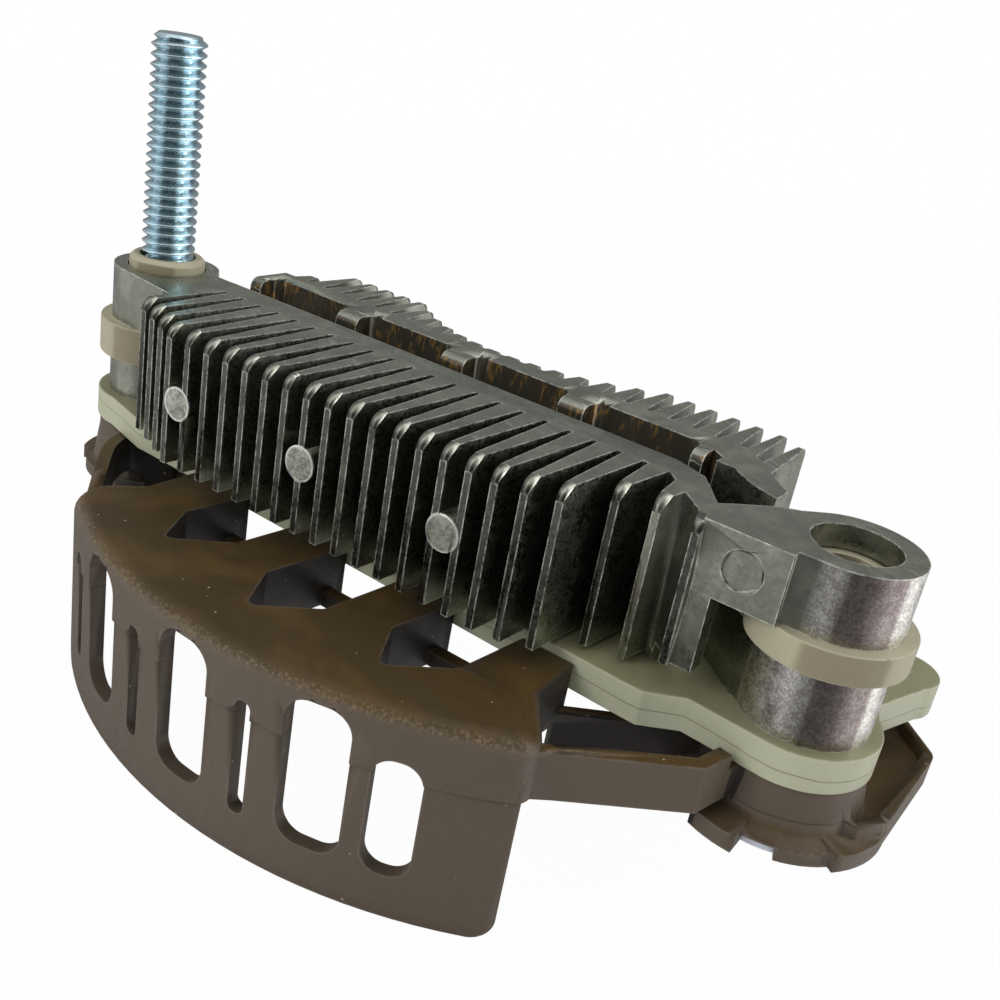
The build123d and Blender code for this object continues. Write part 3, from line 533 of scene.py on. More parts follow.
@dataclass(frozen=True)
class CastMetal(Finish):
    """Die-cast aluminium: mottled satin skin, painted shade in corners and bright worn edges.

    Attributes:
        bright: the colour of worn edges and scratches.
        corner: the colour of the painted shade in corners.
        grain_share: how much the grain dulls the colour.
        gilt: the colour of dry varnish on the edges near the diode pockets, if any.
        varnish_band: from which y to which y the diode pockets lie.
    """

    bright: Colour = (0.92, 0.93, 0.86)
    corner: Colour = (0.018, 0.018, 0.016)
    grain_cell: float = 0.5 * MM
    grain_share: float = 0.35
    wear_amount: float = 1.0
    # strength of the painted shade in corners and grooves
    corner_shade_amount: float = 0.8
    metallic: float = 1.0
    gilt: Colour | None = None
    varnish_band: tuple[float, float] = (8.2 * MM, 12.7 * MM)

    @staticmethod
    def steep(graph: Graph) -> Socket:
        """Mark upright faces."""
        return graph.span(graph.math("ABSOLUTE", graph.split(graph.face("True Normal"))[2]), 0.7, 0.5)

    def near_pockets(self, graph: Graph, margin: float = 0.0) -> Socket:
        """Mark the band along the heat sink that holds the diode pockets.

        Args:
            graph: the material's graph.
            margin: how far past the band the mask reaches.

        Returns:
            The mask's socket.
        """
        across = graph.split(graph.place())[1]
        return graph.times(graph.math("GREATER_THAN", across, self.varnish_band[0] - margin),
                           graph.math("LESS_THAN", across, self.varnish_band[1] + margin))

    def marked(self, graph: Graph, effects: Effects, skin: Skin) -> Skin:
        """Add what only some castings have: here, painted shade in the corners.

        Args:
            graph: the material's graph.
            effects: the shared node groups; not used here.
            skin: the plain skin.

        Returns:
            The skin with its marks.
        """
        # painted shade: corners and grooves darkened towards the corner colour
        return replace(skin, base=graph.mix(skin.corner_shade, skin.base, self.corner))

    def build(self, effects: Effects) -> bpy.types.Material:
        """Build the material.

        Args:
            effects: the shared node groups.

        Returns:
            The material.
        """
        material, graph, shader = self.start()
        grain = graph.group(effects.grain, Cell=self.grain_cell, Contrast=1.6)
        light_stain = graph.mask(effects.stain, Cell=9.0 * MM, Coverage=0.45)
        dull_stain = graph.mask(effects.stain, Cell=3.5 * MM, Coverage=0.5)
        wear = graph.mask(effects.wear, Width=0.32 * MM, Amount=self.wear_amount, Cell=1.6 * MM)
        # mask of the painted shade in corners and grooves
        corner_shade = graph.mask(effects.corner_shade, Reach=3.5 * MM, Amount=self.corner_shade_amount)
        lines = graph.mask(effects.scratches, Spacing=2.2 * MM, Turn=0.5)
        dull = tuple(channel * 0.66 for channel in self.colour)
        light = tuple(channel * 1.4 for channel in self.colour)
        base = graph.mix(graph.times(grain.outputs["Mask"], self.grain_share), self.colour, dull)
        base = graph.mix(graph.times(light_stain, 0.6), base, light)
        base = graph.mix(graph.times(dull_stain, 0.5), base, dull)
        steep = self.steep(graph)
        scratched = graph.times(lines, graph.math("SUBTRACT", 1.0, steep), 0.5)
        bare = graph.math("MAXIMUM", wear, scratched)
        rough = graph.span(grain.outputs["Mask"], 0.0, 1.0, self.roughness - 0.06, self.roughness + 0.1)
        skin = Skin(base, rough, self.metallic, graph.times(grain.outputs["Height"], 0.12), steep,
                    grain.outputs["Mask"], corner_shade)
        skin = self.marked(graph, effects, skin)
        base = graph.mix(bare, skin.base, self.bright)
        if self.gilt:
            runs = graph.span(graph.noise(graph.place(), 500.0, 3.0), 0.46, 0.56)
            base = graph.mix(graph.times(self.near_pockets(graph, MM), runs), base, self.gilt)
        graph.feed(shader.inputs["Base Color"], base)
        worn = graph.span(wear, 0.0, 1.0, 1.0, 0.45)
        graph.feed(shader.inputs["Metallic"], graph.times(skin.metallic, worn))
        polish = graph.times(bare, 0.1)
        graph.feed(shader.inputs["Roughness"], graph.math("SUBTRACT", skin.rough, polish))
        self.relief(graph, shader, skin.height, 0.025 * MM, 0.45)
        return material


@dataclass(frozen=True)
class SinkMetal(CastMetal):
    """The heat sinks' skin: a blasted right ear with painted sparkle and shade, painted shade on the fin
    fronts, ejector pads, and darkened pockets with varnish runs.

    Attributes:
        ear_axis: the right stack's axis.
        bore_reach: how far from the axis the blasting starts.
        ear_shade_band: the painted shade on the part of the ear that faces ear_shade_way.
        pad_front: the pads' faces lie in front of this y.
        tip_front: the fins' fronts lie in front of this y.
        varnish_foot: the lowest z of the varnish.
    """

    ear_axis: Colour = (112.26 * MM, 0.0, 0.0)
    ear_reach: float = 8.0 * MM
    bore_reach: float = 5.6 * MM
    # pale blasted speckle, partly a painted highlight standing in for its sparkle
    ear_light: Colour = (0.97, 0.96, 0.9)
    ear_dark: Colour = (0.56, 0.52, 0.51)
    # painted shade band on the ear
    ear_shade_band: Colour = (0.30, 0.23, 0.25)
    ear_shade_way: Colour = (0.643, -0.766, 0.0)
    pad_places: tuple[Colour, ...] = ((25.3 * MM, 0.0, -10.5 * MM), (48.3 * MM, 0.0, -10.5 * MM),
                                      (71.3 * MM, 0.0, -10.5 * MM))
    pad_reach: float = 2.5 * MM
    pad_rim: float = 0.35 * MM
    pad_front: float = -18.5 * MM
    pad_light: Colour = (0.62, 0.65, 0.55)
    pad_dark: Colour = (0.34, 0.36, 0.31)
    rim_colour: Colour = (0.95, 0.95, 0.9)
    tip_front: float = -9.2 * MM
    # painted shade on the fins' forward faces
    tip_shade_colour: Colour = (0.07, 0.07, 0.06)
    pocket_colour: Colour = (0.035, 0.027, 0.016)
    varnish_foot: float = -9.0 * MM
    varnish: Colour = (0.24, 0.145, 0.05)

    @staticmethod
    def _near(graph: Graph, keep: Colour, places: tuple[Colour, ...], reach: float) -> Socket:
        """Mark what is within reach of any of the places.

        Args:
            graph: the material's graph.
            keep: 1 for each axis that counts, 0 for the others.
            places: the places in metres.
            reach: the distance in metres.

        Returns:
            The mask's socket.
        """
        flat = graph.vector("MULTIPLY", graph.place(), keep).outputs[0]
        mask: object = 0.0
        for place in places:
            away = graph.vector("DISTANCE", flat, place).outputs["Value"]
            mask = graph.math("MAXIMUM", mask, graph.span(away, reach, reach * 0.97))
        return mask

    def _blasted(self, graph: Graph, effects: Effects, skin: Skin) -> Skin:
        """Blast the walls of the right ears: a pale speckle that is partly painted sparkle, and a dark
        purplish painted shade band down their middle.

        Args:
            graph: the material's graph.
            effects: the shared node groups.
            skin: the skin so far.

        Returns:
            The blasted skin.
        """
        ear = self._near(graph, (1.0, 1.0, 0.0), (self.ear_axis,), self.ear_reach)
        bore = self._near(graph, (1.0, 1.0, 0.0), (self.ear_axis,), self.bore_reach)
        ear = graph.times(ear, skin.steep, graph.math("SUBTRACT", 1.0, bore))
        blast = graph.group(effects.grain, Cell=0.3 * MM, Contrast=2.2)
        # partly painted highlight: the near-white blasted speckle also stands in for the walls' sparkle
        speckle = graph.mix(blast.outputs["Mask"], self.ear_light, self.ear_dark)
        # painted shade: the middle of the ear that faces the given way darkened purplish
        band = graph.span(graph.facing(self.ear_shade_way), 0.88, 0.93, smooth=True)
        speckle = graph.mix(graph.times(band, 0.85), speckle, self.ear_shade_band, "MULTIPLY")
        pitted = graph.times(blast.outputs["Height"], ear, 1.6)
        return replace(skin, base=graph.mix(ear, skin.base, speckle),
                       height=graph.math("ADD", skin.height, pitted))

    def _fronts(self, graph: Graph, skin: Skin) -> Skin:
        """Paint shade on the fins' forward faces, and mottle the ejector pads on them.

        Args:
            graph: the material's graph.
            skin: the skin so far.

        Returns:
            The skin with its fronts.
        """
        across = graph.split(graph.place())[1]
        pad = self._near(graph, (1.0, 0.0, 1.0), self.pad_places, self.pad_reach)
        pad = graph.times(pad, graph.math("LESS_THAN", across, self.pad_front))
        inner = self._near(graph, (1.0, 0.0, 1.0), self.pad_places, self.pad_reach - self.pad_rim)
        rim = graph.times(graph.math("SUBTRACT", 1.0, inner), pad)
        # painted shade: forward-facing fin fronts darkened, speckled by the grain
        forward = graph.span(graph.split(graph.face("True Normal"))[1], -0.8, -0.95)
        tip = graph.times(forward, graph.math("LESS_THAN", across, self.tip_front))
        tip = graph.times(tip, graph.math("SUBTRACT", 1.0, pad))
        wear_and_tip_shade = graph.span(skin.grain, 0.35, 0.8, 0.92, 0.7)
        base = graph.mix(graph.times(tip, wear_and_tip_shade), skin.base, self.tip_shade_colour)
        mottle = graph.mix(skin.grain, self.pad_light, self.pad_dark)
        base = graph.mix(graph.times(pad, 0.9), base, mottle)
        base = graph.mix(graph.times(rim, 0.8), base, self.rim_colour)
        return replace(skin, base=base, rough=graph.math("ADD", skin.rough, graph.times(pad, 0.12)))

    def _varnished(self, graph: Graph, skin: Skin) -> Skin:
        """Darken the walls of the diode pockets near black, with lighter runs of varnish.

        Args:
            graph: the material's graph.
            skin: the skin so far.

        Returns:
            The varnished skin.
        """
        place = graph.place()
        up = graph.split(place)[2]
        walls = graph.times(self.near_pockets(graph), skin.steep,
                            graph.math("GREATER_THAN", up, self.varnish_foot))
        stretched = graph.vector("MULTIPLY", place, (1.0, 1.0, 0.35)).outputs[0]
        drips = graph.noise(stretched, 850.0, 4.0, 0.7, 0.6)
        fall = graph.span(up, self.varnish_foot, 0.0, 0.12, 0.0)
        runs = graph.times(graph.span(graph.math("SUBTRACT", drips, fall), 0.5, 0.6), walls)
        base = graph.mix(graph.times(walls, 0.92), skin.base, self.pocket_colour)
        return replace(skin, base=graph.mix(runs, base, self.varnish),
                       metallic=graph.math("SUBTRACT", 1.0, graph.times(walls, 0.6)),
                       rough=graph.math("SUBTRACT", skin.rough, graph.times(walls, 0.16)))

    def marked(self, graph: Graph, effects: Effects, skin: Skin) -> Skin:
        """Add the ears' blasting with its painted shade band, the fronts with their painted shade, the
        painted shade in corners and the varnish.

        Args:
            graph: the material's graph.
            effects: the shared node groups.
            skin: the plain skin.

        Returns:
            The skin with its marks.
        """
        skin = self._fronts(graph, self._blasted(graph, effects, skin))
        # painted shade in corners and grooves, weaker on upright faces
        sink_corner_shade = graph.times(skin.corner_shade, graph.span(skin.steep, 0.0, 1.0, 1.0, 0.4))
        return self._varnished(graph, replace(skin, base=graph.mix(sink_corner_shade, skin.base, self.corner)))


@dataclass(frozen=True)
class ZincPlate(Finish):
    """Bluish zinc plating with a faint yellow cast in places and painted shade in the roots."""

    metallic: float = 1.0

    def build(self, effects: Effects) -> bpy.types.Material:
        """Build the material.

        Args:
            effects: the shared node groups.

        Returns:
            The material.
        """
        material, graph, shader = self.start()
        grain = graph.group(effects.grain, Cell=0.25 * MM, Contrast=1.0)
        stain = graph.mask(effects.stain, Cell=6.0 * MM, Coverage=0.5)
        corner_shade = graph.mask(effects.corner_shade, Reach=0.8 * MM, Amount=0.7)
        warm = (self.colour[0] * 1.04, self.colour[1] * 0.98, self.colour[2] * 0.94)
        base = graph.mix(graph.times(stain, 0.5), self.colour, warm)
        # painted shade: the thread's roots and corners darkened
        base = graph.mix(corner_shade, base, (0.06, 0.08, 0.1))
        graph.feed(shader.inputs["Base Color"], base)
        shader.inputs["Metallic"].default_value = self.metallic
        graph.feed(shader.inputs["Roughness"], graph.span(grain.outputs["Mask"], 0.0, 1.0,
                                                          self.roughness - 0.05, self.roughness + 0.08))
        self.relief(graph, shader, grain.outputs["Height"], 0.02 * MM, 0.4)
        return material


@dataclass(frozen=True)
class Moulding(Finish):
    """Moulded resin: mottled skin, paler worn edges, pale specks and painted shade in corners, with painted
    light on upright faces, painted shade inside the arc and on one side, and a painted highlight along the
    front edge where set.

    Attributes:
        tint: the mottle's second colour, if it isn't a darker first one.
        upright: the colour of upright faces, if they differ, painted lighter than the tops as light falls on
            them.
        foot: below this z every face has the upright colour.
        inner: the colour of the painted shade on upright faces inside the arc, if they differ.
        shade: the colour of the side that faces shade_way, if it differs.
        shine: the strength of the plain reflection.
        seam: the mould seam's height at x 0 and its slope, if it has one.
        rim: the speckled painted highlight along the rounded front edge, if it has one.
        rim_foot: the painted highlight lies above this z.
    """

    wear_and_tip_shade: Colour = (0.3, 0.28, 0.24)
    mottle_share: float = 0.3
    speck_share: float = 0.25
    speck_colour: Colour = (0.5, 0.46, 0.38)
    wear_amount: float = 0.35
    corner_shade_amount: float = 0.4
    # colour of the painted shade in corners, also used for the mould seam
    shade_and_seam_colour: Colour = (0.03, 0.025, 0.02)
    tint: Colour | None = None
    upright: Colour | None = None
    foot: float = -31.5 * MM
    inner: Colour | None = None
    arc_centre: Colour = (56.13 * MM, 27.69 * MM, 0.0)
    arc_radius: float = 65.5 * MM
    shade: Colour | None = None
    shade_way: Colour = (0.5, -0.866, 0.0)
    shine: float = 0.5
    seam: tuple[float, float] | None = None
    rim: Colour | None = None
    rim_foot: float = -25.2 * MM

    def _sides(self, graph: Graph, base: object) -> object:
        """Paint light on the upright faces, and paint shade on the faces inside the arc and on the shaded
        side.

        Args:
            graph: the material's graph.
            base: the colour so far.

        Returns:
            The colour with its sides.
        """
        if self.upright:
            steep = graph.span(graph.math("ABSOLUTE", graph.split(graph.face())[2]), 0.85, 0.3, smooth=True)
            low = graph.span(graph.split(graph.place())[2], self.foot, self.foot - MM, 0.0, 0.9)
            steep = graph.math("MAXIMUM", steep, low)
            # painted light and shade: upright faces get a lit colour of their own, apart from the tops
            base = graph.mix(steep, base, self.upright)
            if self.inner:
                flat = graph.vector("MULTIPLY", graph.place(), (1.0, 1.0, 0.0)).outputs[0]
                away = graph.vector("DISTANCE", flat, self.arc_centre).outputs["Value"]
                within = graph.times(graph.math("LESS_THAN", away, self.arc_radius), steep)
                # painted shade on the upright faces inside the arc
                base = graph.mix(within, base, self.inner)
        if self.shade:
            away = graph.span(graph.facing(self.shade_way), 0.82, 0.9, smooth=True)
            base = graph.mix(away, base, self.shade)
        return base

    def _paint_rim_highlight(self, graph: Graph, base: object) -> object:
        """Paint a speckled highlight on the rounded edge between the roof and the front.

        Args:
            graph: the material's graph.
            base: the colour so far.

        Returns:
            The colour with its rim.
        """
        _, forward, upward = graph.split(graph.face())
        turn = graph.times(graph.span(upward, 0.3, 0.6, smooth=True),
                           graph.span(upward, 0.95, 0.75, smooth=True))
        front = graph.times(graph.math("LESS_THAN", forward, -0.2),
                            graph.math("GREATER_THAN", graph.split(graph.place())[2], self.rim_foot))
        speckled = graph.span(graph.noise(graph.place(), 2400.0, 5.0, 0.75), 0.46, 0.72)
        return graph.mix(graph.times(turn, front, speckled, 0.55), base, self.rim)

    def build(self, effects: Effects) -> bpy.types.Material:
        """Build the material.

        Args:
            effects: the shared node groups.

        Returns:
            The material.
        """
        material, graph, shader = self.start()
        grain = graph.group(effects.grain, Cell=0.5 * MM, Contrast=1.0)
        stain = graph.mask(effects.stain, Cell=16.0 * MM, Coverage=0.5)
        wear = graph.mask(effects.wear, Width=0.5 * MM, Amount=self.wear_amount, Cell=2.5 * MM)
        corner_shade = graph.mask(effects.corner_shade, Reach=2.5 * MM, Amount=self.corner_shade_amount)
        specks = graph.mask(effects.specks, Spacing=1.6 * MM, Size=0.16 * MM, Share=self.speck_share)
        other = self.tint or tuple(channel * 0.8 for channel in self.colour)
        base = graph.mix(graph.times(stain, self.mottle_share), self.colour, other)
        base = self._sides(graph, base)
        base = graph.mix(graph.times(grain.outputs["Mask"], 0.16), base, (0.6, 0.6, 0.6), "MULTIPLY")
        # painted shade: corners and grooves darkened by the occlusion mask
        base = graph.mix(corner_shade, base, self.shade_and_seam_colour)
        if self.seam:
            line = graph.mask(effects.seam, Level=self.seam[0], Slope=self.seam[1], Width=0.11 * MM)
            # the real mould seam is drawn in the painted shade's dark colour
            base = graph.mix(graph.times(line, 0.55), base, self.shade_and_seam_colour)
        # painted highlight on the rounded front edge
        if self.rim:
            base = self._paint_rim_highlight(graph, base)
        base = graph.mix(wear, base, self.wear_and_tip_shade)
        base = graph.mix(graph.times(specks, 0.6), base, self.speck_colour)
        graph.feed(shader.inputs["Base Color"], base)
        graph.feed(shader.inputs["Roughness"], graph.span(grain.outputs["Mask"], 0.0, 1.0,
                                                          self.roughness - 0.05, self.roughness + 0.07))
        shader.inputs["Specular IOR Level"].default_value = self.shine
        self.relief(graph, shader, grain.outputs["Height"], 0.04 * MM, 0.35)
        return material


def new_piece(name: str, points: np.ndarray, faces: np.ndarray, material: bpy.types.Material,
              smooth: bool = True) -> bpy.types.Object:
    """Make a mesh object at the origin from whole arrays.

    Args:
        name: the object's name.
        points: vertices in metres, one row each.
        faces: four vertex indices a row.
        material: its finish.
        smooth: whether it is shaded smooth.

    Returns:
        The object, linked to the scene.
    """
    mesh = bpy.data.meshes.new(name)
    mesh.vertices.add(len(points))
    mesh.vertices.foreach_set("co", points.astype(np.float32).ravel())
    mesh.loops.add(faces.size)
    mesh.loops.foreach_set("vertex_index", faces.astype(np.int32).ravel())
    mesh.polygons.add(len(faces))
    mesh.polygons.foreach_set("loop_start", np.arange(0, faces.size, faces.shape[1], dtype=np.int32))
    mesh.update(calc_edges=True)
    mesh.validate()
    mesh.polygons.foreach_set("use_smooth", np.full(len(mesh.polygons), smooth))
    mesh.materials.append(material)
    piece = bpy.data.objects.new(name, mesh)
    bpy.context.scene.collection.objects.link(piece)
    return piece


def grid_faces(rows: int, columns: int, closed: bool) -> np.ndarray:
    """Number the quads of a grid of rows by columns.

    Args:
        rows: points along the first parameter.
        columns: points along the second.
        closed: whether the columns wrap round.

    Returns:
        Four vertex indices a row.
    """
    row = np.arange(rows - 1)[:, None] * columns
    column = np.arange(columns if closed else columns - 1)[None, :]
    after = (column + 1) % columns
    above = row + columns
    return np.stack([row + column, row + after, above + after, above + column], -1).reshape(-1, 4)


def rounded_copy(node: str, materials: list[bpy.types.Material], width: float, least_turn: float = 28.0,
                 segments: int = 2) -> bpy.types.Object:
    """Copy a CAD node's mesh, weld it, and round its outer edges.

    Args:
        node: the CAD node's name.
        materials: the finish of the faces, and of the rounded edges if there is a second.
        width: the rounding's width in metres.
        least_turn: outer edges that turn less, in degrees, stay as they are.
        segments: faces across a rounding.

    Returns:
        The object that stands for the node.
    """
    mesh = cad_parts[node].data.copy()
    mesh.name = node + "_finished"
    work = bmesh.new()
    work.from_mesh(mesh)
    bmesh.ops.remove_doubles(work, verts=work.verts, dist=WELD)
    bmesh.ops.dissolve_limit(work, angle_limit=FLAT_TURN, verts=work.verts, edges=work.edges)
    edges = [edge for edge in work.edges
             if len(edge.link_faces) == 2 and edge.calc_face_angle_signed(0.0) > math.radians(least_turn)
             and edge.calc_length() > 1.5 * width]
    bmesh.ops.bevel(work, geom=edges, offset=width, offset_type="OFFSET", segments=segments, profile=0.5,
                    affect="EDGES", clamp_overlap=True, loop_slide=True, miter_outer="SHARP",
                    material=1 if len(materials) > 1 else -1)
    bmesh.ops.remove_doubles(work, verts=work.verts, dist=WELD)
    bmesh.ops.triangulate(work, faces=[face for face in work.faces if len(face.verts) > 4])
    work.to_mesh(mesh)
    work.free()
    mesh.polygons.foreach_set("use_smooth", np.full(len(mesh.polygons), True))
    mesh.set_sharp_from_angle(angle=SHARP_TURN)
    mesh.materials.clear()
    for material in materials:
        mesh.materials.append(material)
    piece = bpy.data.objects.new(node + "_finished", mesh)
    bpy.context.scene.collection.objects.link(piece)
    weighted = piece.modifiers.new("face normals", "WEIGHTED_NORMAL")
    weighted.keep_sharp = True
    weighted.weight = 100
    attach(piece, "root")
    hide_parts(node)
    return piece


@dataclass
class HeatSinks:
    """The two finned die-castings."""

    # the amount given is the strength of the painted shade in corners and grooves
    finish: SinkMetal = SinkMetal("cast aluminium", (0.40, 0.415, 0.345), 0.33, corner_shade_amount=0.6)
    # the rounded edges get a near-white material: partly worn metal, partly a painted highlight along every
    # outer edge; its corner amount is painted shade
    edge: CastMetal = CastMetal("worn casting edge with painted highlight", (0.88, 0.89, 0.82), 0.22, bright=(0.95, 0.95, 0.9),
                                corner_shade_amount=0.35, gilt=(0.50, 0.33, 0.10), metallic=0.4)
    edge_width: float = 0.22 * MM

    def build(self, effects: Effects) -> None:
        """Dress both sinks.

        Args:
            effects: the shared node groups.
        """
        materials = [self.finish.build(effects), self.edge.build(effects)]
        for node in ("front_heat_sink", "rear_heat_sink"):
            rounded_copy(node, materials, self.edge_width)
            log.info("%s dressed", node)


@dataclass
class Stud:
    """The threaded stud, from its hexagon head to its tip."""

    radius: float = 3.97 * MM
    rise: float = 33.7 * MM
    pitch: float = 1.411 * MM
    thread_start: float = 1.0 * MM
    shank_radius: float = 3.55 * MM
    head_low: float = -38.5 * MM
    head_high: float = -34.0 * MM
    head_apothem: float = 6.5 * MM
    head_corner: float = 7.2 * MM
    tip_chamfer: float = 0.9 * MM
    thread_depth: float = 0.613
    flank: float = 2.35
    crest: float = 0.14
    root: float = 0.93
    around: int = 72
    rows_a_turn: int = 14
    sharp_turn: float = 50.0
    finish: ZincPlate = ZincPlate("zinc plate", (0.64, 0.83, 0.92), 0.22)

    def build(self, effects: Effects) -> None:
        """Make the stud as one closed surface: radius as a function of height and angle.

        The thread's radius is the outer radius less the depth times a cut. The cut is a triangle
        wave of the height over the pitch less the angle over a full turn, times flank and less
        crest, held between 0 and 1 and rounded off above root.

        Args:
            effects: the shared node groups.
        """
        depth = self.thread_depth * self.pitch
        angle = np.arange(self.around) / self.around * 2 * np.pi
        turns = int((self.rise - self.thread_start) / self.pitch)
        height = np.linspace(self.thread_start, self.rise, turns * self.rows_a_turn + 1)
        wave = np.mod(height[:, None] / self.pitch - angle[None, :] / (2 * np.pi), 1.0)
        cut = np.clip((0.5 - np.abs(wave - 0.5)) * self.flank - self.crest, 0.0, 1.0)
        cut = np.minimum(cut, self.root + (1.0 - self.root) * np.sin(cut * np.pi / 2))
        thread = self.radius - 0.03 * MM - depth * cut
        tip = self.radius - np.clip(height - (self.rise - self.tip_chamfer), 0.0, None) * 1.1
        start = self.shank_radius + np.clip((height - self.thread_start) / self.pitch, 0, 1) * 0.5 * MM
        thread = np.minimum(thread, np.minimum(tip, start)[:, None])
        hexagon = self.head_apothem / np.cos(np.mod(angle + np.pi / 6, np.pi / 3) - np.pi / 6)
        hexagon = np.minimum(hexagon, self.head_corner)
        rows: list[tuple[float, np.ndarray]] = [
            (self.head_low, np.full(self.around, 1e-5)),
            (self.head_low, np.full(self.around, 5.6 * MM)),
            (self.head_low, np.full(self.around, 6.1 * MM)),
            (self.head_low + 0.15 * MM, np.minimum(hexagon, 6.6 * MM)),
            (self.head_low + 0.6 * MM, hexagon),
            (self.head_high - 0.3 * MM, hexagon),
            (self.head_high, hexagon - 0.25 * MM),
            (self.head_high, np.full(self.around, self.shank_radius + 0.3 * MM)),
            (self.head_high + 0.25 * MM, np.full(self.around, self.shank_radius)),
        ]
        levels = np.concatenate([[level for level, _ in rows], height, [self.rise, self.rise]])
        radii = np.vstack([ring for _, ring in rows] + [thread, np.full((1, self.around), 2.0 * MM),
                                                        np.full((1, self.around), 1e-5)])
        points = np.stack([radii * np.cos(angle), radii * np.sin(angle),
                           np.broadcast_to(levels[:, None], radii.shape)], -1).reshape(-1, 3)
        piece = new_piece("stud_thread", points, grid_faces(len(levels), self.around, True),
                          self.finish.build(effects))
        piece.data.set_sharp_from_angle(angle=math.radians(self.sharp_turn))
        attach(piece, "root")
        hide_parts("output_stud")
        log.info("stud threaded")


@dataclass
class Stacks:
    """The bushes and the sleeve of the two stacks."""

    # the shade colour is painted shade on one side, and the dark corner colour is painted shade in corners
    # and the seam's colour
    bush: Moulding = Moulding("beige insulation", (0.47, 0.44, 0.31), 0.5, wear_and_tip_shade=(0.56, 0.52, 0.39),
                              mottle_share=0.35, speck_share=0.12, speck_colour=(0.2, 0.16, 0.1),
                              shade=(0.29, 0.25, 0.165), shade_and_seam_colour=(0.12, 0.1, 0.06))
    sleeve: ZincPlate = ZincPlate("sleeve plate", (0.78, 0.83, 0.92), 0.32, 0.3)
    edge_width: float = 0.18 * MM

    def build(self, effects: Effects) -> None:
        """Dress the bushes and the sleeve.

        Args:
            effects: the shared node groups.
        """
        resin = self.bush.build(effects)
        for node in ("left_insulating_bush", "right_insulating_bush"):
            rounded_copy(node, [resin], self.edge_width)
        rounded_copy("mounting_sleeve", [self.sleeve.build(effects)], 0.15 * MM)
        log.info("stacks dressed")


@dataclass
class TerminalPlate:
    """The moulded plate under both sinks."""

    # the upright colour paints the sides lighter than the tops, as light falls; the dark corner colour is
    # painted shade in corners
    finish: Moulding = Moulding("cream moulding", (0.31, 0.305, 0.18), 0.42, wear_and_tip_shade=(0.62, 0.6, 0.47),
                                mottle_share=0.5, speck_share=0.08, shade_and_seam_colour=(0.09, 0.085, 0.045),
                                upright=(0.49, 0.5, 0.355), wear_amount=0.6, seam=(-21.85 * MM, -0.0225))
    edge_width: float = 0.3 * MM

    def build(self, effects: Effects) -> None:
        """Dress the plate.

        Args:
            effects: the shared node groups.
        """
        piece = rounded_copy("terminal_plate", [self.finish.build(effects)], self.edge_width)
        log.info("terminal plate dressed")


@dataclass
class Guard:
    """The arched cover with its slotted skirt."""

    # painted light and shade: upright faces lighter with painted sheen, upright faces inside the arc in
    # painted shade, and a painted highlight along the rounded front edge
    finish: Moulding = Moulding("brown moulding", (0.092, 0.055, 0.018), 0.45, wear_and_tip_shade=(0.3, 0.27, 0.23),
                                mottle_share=0.8, speck_share=0.12, wear_amount=0.35, shine=0.3,
                                tint=(0.050, 0.033, 0.013), upright=(0.120, 0.094, 0.070),
                                inner=(0.036, 0.030, 0.026), seam=(-30.3 * MM, 0.0), rim=(0.34, 0.27, 0.17))
    edge_width: float = 0.22 * MM

    def build(self, effects: Effects) -> None:
        """Dress the guard.

        Args:
            effects: the shared node groups.
        """
        piece = rounded_copy("guard", [self.finish.build(effects)], self.edge_width)
        log.info("guard dressed")


@dataclass
class Diodes:
    """The diode cases and the strips between their leads."""

    case: Moulding = Moulding("diode case", (0.02, 0.02, 0.022), 0.35, wear_and_tip_shade=(0.1, 0.1, 0.1),
                              speck_share=0.1)
    strip: CastMetal = CastMetal("copper strip", (0.70, 0.42, 0.26), 0.3, bright=(0.9, 0.65, 0.45))

    def build(self, effects: Effects) -> None:
        """Dress the diodes and strips.

        Args:
            effects: the shared node groups.
        """
        dark = self.case.build(effects)
        copper = self.strip.build(effects)
        for index in range(1, 5):
            for node in (f"negative_diode_{index}", f"positive_diode_{index}"):
                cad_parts[node].data.materials.clear()
                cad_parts[node].data.materials.append(dark)
            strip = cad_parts[f"phase_terminal_{index}"]
            strip.data.materials.clear()
            strip.data.materials.append(copper)
        log.info("diodes dressed")


